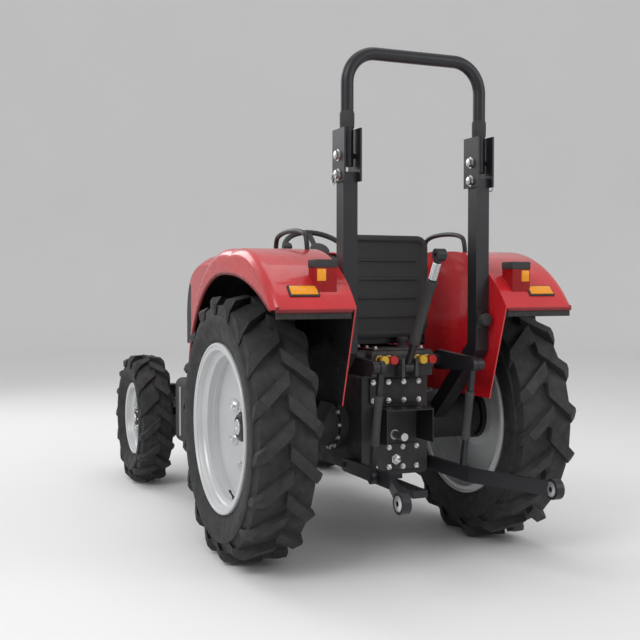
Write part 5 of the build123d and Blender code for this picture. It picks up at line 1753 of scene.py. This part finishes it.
@dataclass
class RearCase(SubAssembly):
    """Rear case and its fittings: cover plates, brake covers, pipes, socket and lift levers."""

    case_back: float = -0.260
    case_half: float = 0.165
    housing_top: float = 0.940
    brake: tuple[float, float] = (0.215, 0.610)
    brake_circle: float = 0.074
    socket_seat: tuple[float, float] = (-0.469, 1.080)

    def build(self) -> None:
        """Fits the plates, covers, pipes and levers."""
        self.back_plates()
        self.top_plate()
        for side in Side:
            self.brake_cover(side)
            self.oil_pipes(side)
        self.socket()
        self.lift_levers()

    def plate(self, name: str, low: Vector, high: Vector, places: list[Place]) -> None:
        """Machined cover plate with its bolts.

        Args:
            name: The plate's name.
            low: One corner.
            high: The opposite corner.
            places: The bolts' seats and axes.
        """
        self.keep(block(name, low, high, 0.004), CAST_IRON)
        self.keep(bolts(f"{name}_bolts", places, 0.0095, 0.009), ZINC_NUT)

    def back_plates(self) -> None:
        """Upper and lower cover plates on the case's back, with the drain plug."""
        for name, half, low, high in (("case_plate_upper", 0.130, 0.702, 0.814),
                                      ("case_plate_lower", 0.120, 0.402, 0.520)):
            places = []
            for level in (low + 0.015, high - 0.015):
                for step in range(4):
                    places.append((DATUM.at(self.case_back - 0.012, (half - 0.016) * (step / 1.5 - 1), level),
                                   BACK))
            self.plate(name, DATUM.at(self.case_back + 0.004, -half, low),
                       DATUM.at(self.case_back - 0.012, half, high), places)
        plug = lathe("drain_plug", (DATUM.at(self.case_back - 0.011, 0.0, 0.450), BACK),
                     [(0, 0.024), (0.005, 0.024), (0.006, 0.018), (0.018, 0.018), (0.020, 0.015),
                      (0.020, 0.0)], steps=6)
        self.keep(plug, ZINC_NUT)

    def top_plate(self) -> None:
        """Plate on the lift housing, with the oil filler."""
        low = DATUM.at(-0.305, -0.128, self.housing_top - 0.002)
        high = DATUM.at(-0.010, 0.128, self.housing_top + 0.010)
        places = []
        for y in (low.y + 0.014, high.y - 0.014):
            for step in range(4):
                places.append((Vector((low.x + 0.016 + step * 0.0877, y, high.z)), UP))
        self.plate("lift_plate", low, high, places)
        filler = lathe("lift_filler", (DATUM.at(-0.215, -0.062, high.z - 0.002), UP),
                       [(0, 0.030), (0.010, 0.028), (0.012, 0.022), (0.030, 0.022), (0.030, 0.027),
                        (0.044, 0.027), (0.048, 0.023), (0.048, 0.0)], steps=28)
        self.keep(filler, BLACK_PLASTIC)

    def brake_cover(self, side: Side) -> None:
        """Round brake cover on the case's flank.

        Args:
            side: Which flank.
        """
        out = side.out
        seat = DATUM.at(self.brake[0], side.value * (self.case_half - 0.002), self.brake[1])
        cover = lathe(f"brake_cover_{side.word}", (seat, out),
                      [(0, 0.092), (0.016, 0.092), (0.020, 0.087), (0.020, 0.052), (0.030, 0.046),
                       (0.034, 0.030), (0.034, 0.0)], steps=48)
        self.keep(cover, CAST_IRON)
        heads = bolts(f"brake_bolts_{side.word}", ring(seat + out * 0.020, out, self.brake_circle, 8), 0.009,
                      0.009)
        self.keep(heads, ZINC_NUT)

    def oil_pipes(self, side: Side) -> None:
        """Two steel pipes along the case, held by clips.

        Args:
            side: Which flank.
        """
        sign = side.value
        for number, lift in enumerate((0.0, 0.026)):
            route = [(-0.120, 0.146, 0.870 + lift), (-0.100, 0.176, 0.870 + lift),
                     (0.020, 0.176, 0.862 + lift), (0.060, 0.175, 0.780 + lift), (0.120, 0.174, 0.742 + lift),
                     (0.420, 0.168, 0.740 + lift), (0.640, 0.168, 0.740 + lift), (0.780, 0.190, 0.735 + lift)]
            line = pipe(f"oil_pipe_{side.word}_{number}", [DATUM.at(x, sign * y, z) for x, y, z in route],
                        0.007)
            self.keep(line, BRIGHT_STEEL if number else CHASSIS_BLACK, slot="bright_steel")
        clip = block(f"pipe_clips_{side.word}", (-0.012, -0.030, 0), (0.012, 0.030, 0.031), 0.005)
        out = side.out
        places = [(DATUM.at(x, sign * 0.148, 0.753), out) for x in (0.380, 0.560, 0.700)]
        self.keep(stamp(clip, places), BLACK_PLASTIC)

    def socket(self) -> None:
        """Trailer socket with its lid on the right post."""
        seat = DATUM.at(self.socket_seat[0], middle("rops_post_right").y, self.socket_seat[1])
        foot = block("socket_bracket", seat + Vector((0.002, -0.028, -0.040)),
                     seat + Vector((-0.008, 0.028, 0.040)), 0.003)
        self.keep(foot, CHASSIS_BLACK)
        cup = lathe("socket_cup", (seat + BACK * 0.006, BACK),
                    [(0, 0.024), (0.026, 0.024), (0.028, 0.028), (0.036, 0.028), (0.042, 0.025),
                     (0.045, 0.012), (0.045, 0.0)], steps=32)
        self.keep(cup, BLACK_PLASTIC)

    def lift_levers(self) -> None:
        """Quadrant on the right fender's inner wall, with the two lift levers."""
        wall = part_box("fender_right")[1].y
        plate = block("lever_quadrant", DATUM.at(0.060, wall - 0.003, 1.150),
                      DATUM.at(0.260, wall + 0.016, 1.250), 0.007, 3)
        self.keep(plate, BLACK_PLASTIC)
        for number, (x, finish) in enumerate(((0.120, KNOB_YELLOW), (0.190, BLACK_PLASTIC))):
            slot = block(f"quadrant_slot_{number}", DATUM.at(x - 0.024, wall + 0.012, 1.196),
                         DATUM.at(x + 0.034, wall + 0.018, 1.206), 0.002)
            self.keep(slot, BRIGHT_STEEL)
            route = [DATUM.at(x, wall + 0.010, 1.201), DATUM.at(x + 0.004, wall + 0.034, 1.206),
                     DATUM.at(x + 0.014, wall + 0.040, 1.240), DATUM.at(x + 0.040, wall + 0.042, 1.345)]
            self.keep(pipe(f"lift_lever_{number}", route, 0.006), CHASSIS_BLACK)
            grip = lathe(f"lift_grip_{number}", (route[-1], route[-1] - route[-2]),
                         [(-0.024, 0.0065), (-0.020, 0.014), (0.0, 0.018), (0.016, 0.016), (0.024, 0.008),
                          (0.025, 0.0)], steps=28)
            self.keep(grip, finish, slot="black_plastic")


@dataclass
class FrontEnd(SubAssembly):
    """Front frame, axle, knuckles and tie rod."""

    king_pin_y: float = 0.470
    tie_rod_pin: tuple[float, float] = (1.760, 0.525)

    def build(self) -> None:
        """Dresses the front end and fits the knuckles."""
        self.dress(CHASSIS_BLACK, "front_frame", "front_axle", "front_driveshaft", "knuckle_left",
                   "knuckle_right")
        self.dress(PANEL_SILVER, "tie_rod")
        for side in Side:
            self.knuckle_fittings(side)

    def knuckle_fittings(self, side: Side) -> None:
        """Cover plate with its bolts on a knuckle, and the tie rod's nut.

        Args:
            side: Which knuckle.
        """
        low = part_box(f"knuckle_{side.word}")[0]
        body = f"knuckle_{side.word}_body"
        x, y = DATUM.front.x, side.value * self.king_pin_y
        cover = lathe(f"knuckle_cover_{side.word}", (Vector((x, y, low.z + 0.001)), DOWN),
                      [(-0.01, 0.058), (0.010, 0.058), (0.014, 0.052), (0.014, 0.020), (0.020, 0.016),
                       (0.020, 0.0)])
        self.keep(cover, CHASSIS_BLACK, body)
        places = []
        for step in range(6):
            angle = TURN * step / 6
            places.append((Vector((x + 0.040 * math.cos(angle), y + 0.040 * math.sin(angle), low.z - 0.012)),
                           DOWN))
        self.keep(bolts(f"knuckle_bolts_{side.word}", places, 0.008, 0.008), ZINC_NUT, body)
        nut = bolts(f"tie_rod_nut_{side.word}", [(DATUM.at(self.tie_rod_pin[0], y, self.tie_rod_pin[1]), UP)],
                    0.014, 0.014)
        self.keep(nut, ZINC_NUT, body)


@dataclass
class RollBar(SubAssembly):
    """Folding roll bar: pins, rings, clamp nuts and sleeves."""

    hinge: tuple[float, float] = (-0.440, 1.770)
    cheek: float = 0.0405
    lock_drop: float = -0.080
    clamp_z: float = 0.712
    sleeve_z: float = 1.885

    def build(self) -> None:
        """Dresses the bar and fits its pins."""
        self.dress(CHASSIS_BLACK, "rops_post_left", "rops_post_right", "rops_hoop")
        for side in Side:
            self.hinge_pins(side)
        self.bar_sleeves()

    def hinge_pins(self, side: Side) -> None:
        """Bolt heads and pull ring at a hinge, and the nuts that clamp the post.

        Args:
            side: Which post.
        """
        out = side.out
        post_y = middle(f"rops_post_{side.word}").y
        pivot = DATUM.at(self.hinge[0], post_y, self.hinge[1])
        places = []
        for offset, way in ((self.cheek, 1), (-self.cheek, -1)):
            for drop in (0.0, self.lock_drop):
                places.append((pivot + out * offset + UP * drop, out * way))
        self.keep(bolts(f"hinge_bolts_{side.word}", places, 0.019, 0.012), ZINC_NUT)
        route = hoop(pivot + out * 0.062 + DOWN * 0.100, 0.022)
        self.keep(pipe(f"lock_ring_{side.word}", route, 0.0028, soft=False), BRIGHT_STEEL)
        clamp_places = [(DATUM.at(x, post_y + y, self.clamp_z), UP) for x in (-0.075, 0.075)
                        for y in (-0.045, 0.045)]
        self.keep(bolts(f"post_clamp_nuts_{side.word}", clamp_places, 0.014, 0.014), ZINC_NUT)

    def bar_sleeves(self) -> None:
        """Plain sleeves where the hoop's feet enter the hinges."""
        for side in Side:
            foot = DATUM.at(self.hinge[0], middle(f"rops_post_{side.word}").y, self.sleeve_z)
            sleeve = lathe(f"hoop_sleeve_{side.word}", (foot, UP),
                           [(0, 0.0272), (0, 0.030), (0.02, 0.031), (0.06, 0.031), (0.07, 0.0272),
                            (0, 0.0272)], steps=32)
            self.keep(sleeve, BLACK_PLASTIC, "roll_bar", slot="chassis_black")


@dataclass
class Hitch(SubAssembly):
    """Rear linkage, power take-off and couplers."""

    rod_y: float = 0.220
    rod_top: tuple[float, float] = (-0.560, 0.890)
    rod_foot: tuple[float, float] = (-0.480, 0.420)
    link_eye: tuple[float, float, float] = (-0.980, 0.341, 0.420)
    park_angle: float = 60.0
    top_link_foot: tuple[float, float, float] = (-0.375, 0.0, 0.870)
    coupler_seat: tuple[float, float] = (-0.330, 0.905)

    def build(self) -> None:
        """Dresses the linkage and fits its sleeves, bushes and couplers."""
        self.dress(CHASSIS_BLACK, "lift_arms", "lower_link_left", "lower_link_right", "top_link",
                   "pto_shield", "drawbar", "lift_rod_left", "lift_rod_right")
        self.dress(BRIGHT_STEEL, "pto_shaft")
        for side in Side:
            self.turnbuckle(side)
            self.ball(side)
        self.top_sleeve()
        self.couplers()

    def turnbuckle(self, side: Side) -> None:
        """Round screw sleeve on a lift rod.

        Args:
            side: Which rod.
        """
        y = side.value * self.rod_y
        top = DATUM.at(self.rod_top[0], y, self.rod_top[1])
        foot = DATUM.at(self.rod_foot[0], y, self.rod_foot[1])
        axis = (foot - top).normalized()
        sleeve = lathe(f"lift_sleeve_{side.word}", (top, axis),
                       [(0.12, 0.0157), (0.12, 0.019), (0.15, 0.019), (0.155, 0.0175), (0.30, 0.0175),
                        (0.305, 0.019), (0.335, 0.019), (0.335, 0.0157), (0.12, 0.0157)], steps=24)
        self.keep(sleeve, CAST_IRON, f"lift_rod_{side.word}_body")

    def ball(self, side: Side) -> None:
        """Bright ball bush in a lower link's eye.

        Args:
            side: Which link.
        """
        x, y, z = self.link_eye
        centre = DATUM.at(x, side.value * y, z)
        bush = lathe(f"link_ball_{side.word}", (centre, Vector((0, 1, 0))),
                     [(-0.0215, 0.0115), (-0.0215, 0.019), (-0.0185, 0.024), (-0.0185, 0.030),
                      (0.0185, 0.030), (0.0185, 0.024), (0.0215, 0.019), (0.0215, 0.0115), (-0.0215, 0.0115)],
                     steps=32)
        self.keep(bush, BRIGHT_STEEL, f"lower_link_{side.word}_body")

    def top_sleeve(self) -> None:
        """Sleeve of the top link, and the thread that leaves it."""
        park = math.radians(self.park_angle)
        axis = Vector((-math.cos(park), 0, math.sin(park)))
        foot = DATUM.at(*self.top_link_foot)
        sleeve = lathe("top_link_sleeve", (foot, axis),
                       [(0.13, 0.0165), (0.13, 0.024), (0.16, 0.024), (0.17, 0.021), (0.40, 0.021),
                        (0.41, 0.024), (0.44, 0.024), (0.44, 0.0165), (0.13, 0.0165)], steps=28)
        self.keep(sleeve, CAST_IRON, "top_link_body")
        threads = lathe("top_link_threads", (foot, axis), self.thread_profile(0.445, 0.525), steps=24)
        self.keep(threads, BRIGHT_STEEL, "top_link_body")

    def thread_profile(self, start: float, end: float) -> list[tuple[float, float]]:
        """Profile of a screw thread along an axis.

        Args:
            start: Where the thread starts.
            end: Where it ends.

        Returns:
            Pairs of distance and radius, closed on the core.
        """
        profile = [(start, 0.0155)]
        turns = 12
        for turn in range(turns):
            along = start + (end - start) * turn / turns
            pitch = (end - start) / turns
            profile += [(along, 0.0163), (along + pitch / 2, 0.0180)]
        return profile + [(end, 0.0155), (start, 0.0155)]

    def couplers(self) -> None:
        """Hydraulic couplers with their dust caps."""
        places = [(-0.118, KNOB_RED), (-0.072, KNOB_YELLOW), (0.072, KNOB_RED), (0.118, KNOB_YELLOW)]
        for number, (y, finish) in enumerate(places):
            seat = DATUM.at(self.coupler_seat[0], y, self.coupler_seat[1])
            body = lathe(f"coupler_{number}", (seat, BACK),
                         [(0, 0.019), (0.012, 0.019), (0.014, 0.015), (0.036, 0.015), (0.038, 0.018),
                          (0.052, 0.018), (0.054, 0.0)], steps=24)
            self.keep(body, BRASS)
            cap = lathe(f"coupler_cap_{number}", (seat + BACK * 0.050, BACK),
                        [(0, 0.0195), (0.016, 0.0195), (0.019, 0.016), (0.019, 0.0)], steps=24)
            self.keep(cap, finish, slot="black_plastic")


@dataclass
class Studio(SubAssembly):
    """Pale floor, soft lamps and the camera."""

    floor_radius: float = 17.0
    wall: float = 9.0
    curve: float = 3.0
    lit: tuple[float, float, float] = (0.0, 0.0, 0.8)
    eye: tuple[float, float, float] = (-4.234, 2.057, 1.218)
    target: tuple[float, float, float] = (0.60, 0.0, 1.05)
    sky: float = 0.62
    lens: float = 56.0

    def build(self) -> None:
        """Sets the floor, the lamps, the world and the camera."""
        bpy.context.scene.view_settings.view_transform = "Standard"
        self.floor()
        self.world()
        lamps = (("key", (-3.2, 4.6, 5.2), 3.2, 150), ("fill", (-5.0, -3.6, 3.4), 3.5, 75),
                 ("front", (5.0, 2.5, 4.2), 3.0, 90), ("top", (0.0, 0.0, 6.5), 4.0, 60))
        for name, place, size, power in lamps:
            self.lamp(name, Vector(place), size, power)
        self.camera()

    def floor(self) -> None:
        """Round floor that curves up into a wall all round."""
        radius, turn = self.floor_radius, self.curve
        profile = [(0.0, 0.0), (0.0, radius - turn)]
        for step in range(1, 13):
            angle = math.pi / 2 * step / 12
            profile.append((turn - turn * math.cos(angle), radius - turn + turn * math.sin(angle)))
        profile.append((self.wall, radius))
        stage = lathe("studio_floor", (Vector((0, 0, 0)), UP), profile, steps=96)
        smooth(stage, 60)
        pale = bpy.data.materials.new("pale_floor")
        pale.use_nodes = True
        shader = pale.node_tree.nodes["Principled BSDF"]
        shader.inputs["Roughness"].default_value = 0.9
        shader.inputs["Specular IOR Level"].default_value = 0.1
        graph = Graph(pale.node_tree)
        coords = graph.coords()
        cloud = graph.add("ShaderNodeTexNoise", Vector=coords, Scale=0.8, Detail=2.0).outputs["Fac"]
        pale.node_tree.links.new(graph.mix(cloud, (0.84, 0.84, 0.84), (0.87, 0.87, 0.87)),
                                 shader.inputs["Base Color"])
        stage.data.materials.append(pale)

    def world(self) -> None:
        """Plain pale sky."""
        sky = bpy.data.worlds.new("studio_sky")
        sky.use_nodes = True
        bpy.context.scene.world = sky
        background = sky.node_tree.nodes["Background"]
        background.inputs["Color"].default_value = (1.0, 1.0, 1.0, 1.0)
        background.inputs["Strength"].default_value = self.sky

    def lamp(self, name: str, place: Vector, size: float, power: float) -> None:
        """Soft square lamp looking at the tractor.

        Args:
            name: The lamp's name.
            place: Where it hangs.
            size: Its side.
            power: Its power in watts.
        """
        deselect()
        bpy.ops.object.light_add(type="AREA", location=place)
        light = bpy.context.active_object
        light.name = f"lamp_{name}"
        light.data.size = size
        light.data.energy = power
        light.rotation_euler = (Vector(self.lit) - place).to_track_quat("-Z", "Y").to_euler()

    def camera(self) -> None:
        """Camera at the photograph's place, turned to the tractor."""
        eye = DATUM.at(*self.eye)
        deselect()
        bpy.ops.object.camera_add(location=eye)
        camera = bpy.context.active_object
        camera.name = "photo_camera"
        camera.data.lens = self.lens
        camera.data.sensor_width = 36.0
        aim_point = DATUM.at(*self.target)
        camera.rotation_euler = (aim_point - eye).to_track_quat("-Z", "Y").to_euler()
        bpy.context.scene.camera = camera


def main() -> None:
    """Builds every sub-assembly in order."""
    logging.basicConfig(level=logging.INFO, format="%(name)s: %(message)s")
    rear = {"end": "rear", "nut_circle": 0.088, "nut_radius": 0.015, "cover_radius": 0.114,
            "boss_radius": 0.060, "lip": 0.007, "bead": (0.388, 0.1197), "bulge": (0.464, 0.142),
            "step_radius": 0.503, "seat": (0.349, 0.0945), "well": (0.323, 0.0815), "disc_y": 0.025,
            "disc_face": -0.035, "clamp_circle": 0.205, "clamp_y": -0.0145, "clamp_lean": -0.343}
    front = {"end": "front", "nut_circle": 0.063, "nut_radius": 0.011, "cover_radius": 0.080,
             "boss_radius": 0.046, "lip": 0.005, "bead": (0.230, 0.0627), "bulge": (0.2915, 0.104),
             "step_radius": 0.322, "seat": (0.196, 0.0375), "well": (0.173, 0.026), "disc_y": -0.005,
             "disc_face": 0.022, "clamp_circle": 0.100, "clamp_y": 0.022, "clamp_lean": 0.0}
    parts: list[SubAssembly] = [Wheel(side=side, **sizes) for sizes in (rear, front) for side in Side]
    parts += [Hood(), Fenders(), DriverStation(), EngineBay(), RearCase(), FrontEnd(), RollBar(), Hitch(),
              Seat(), Studio()]
    for part in parts:
        part.build()


if __name__ == "__main__":
    main()
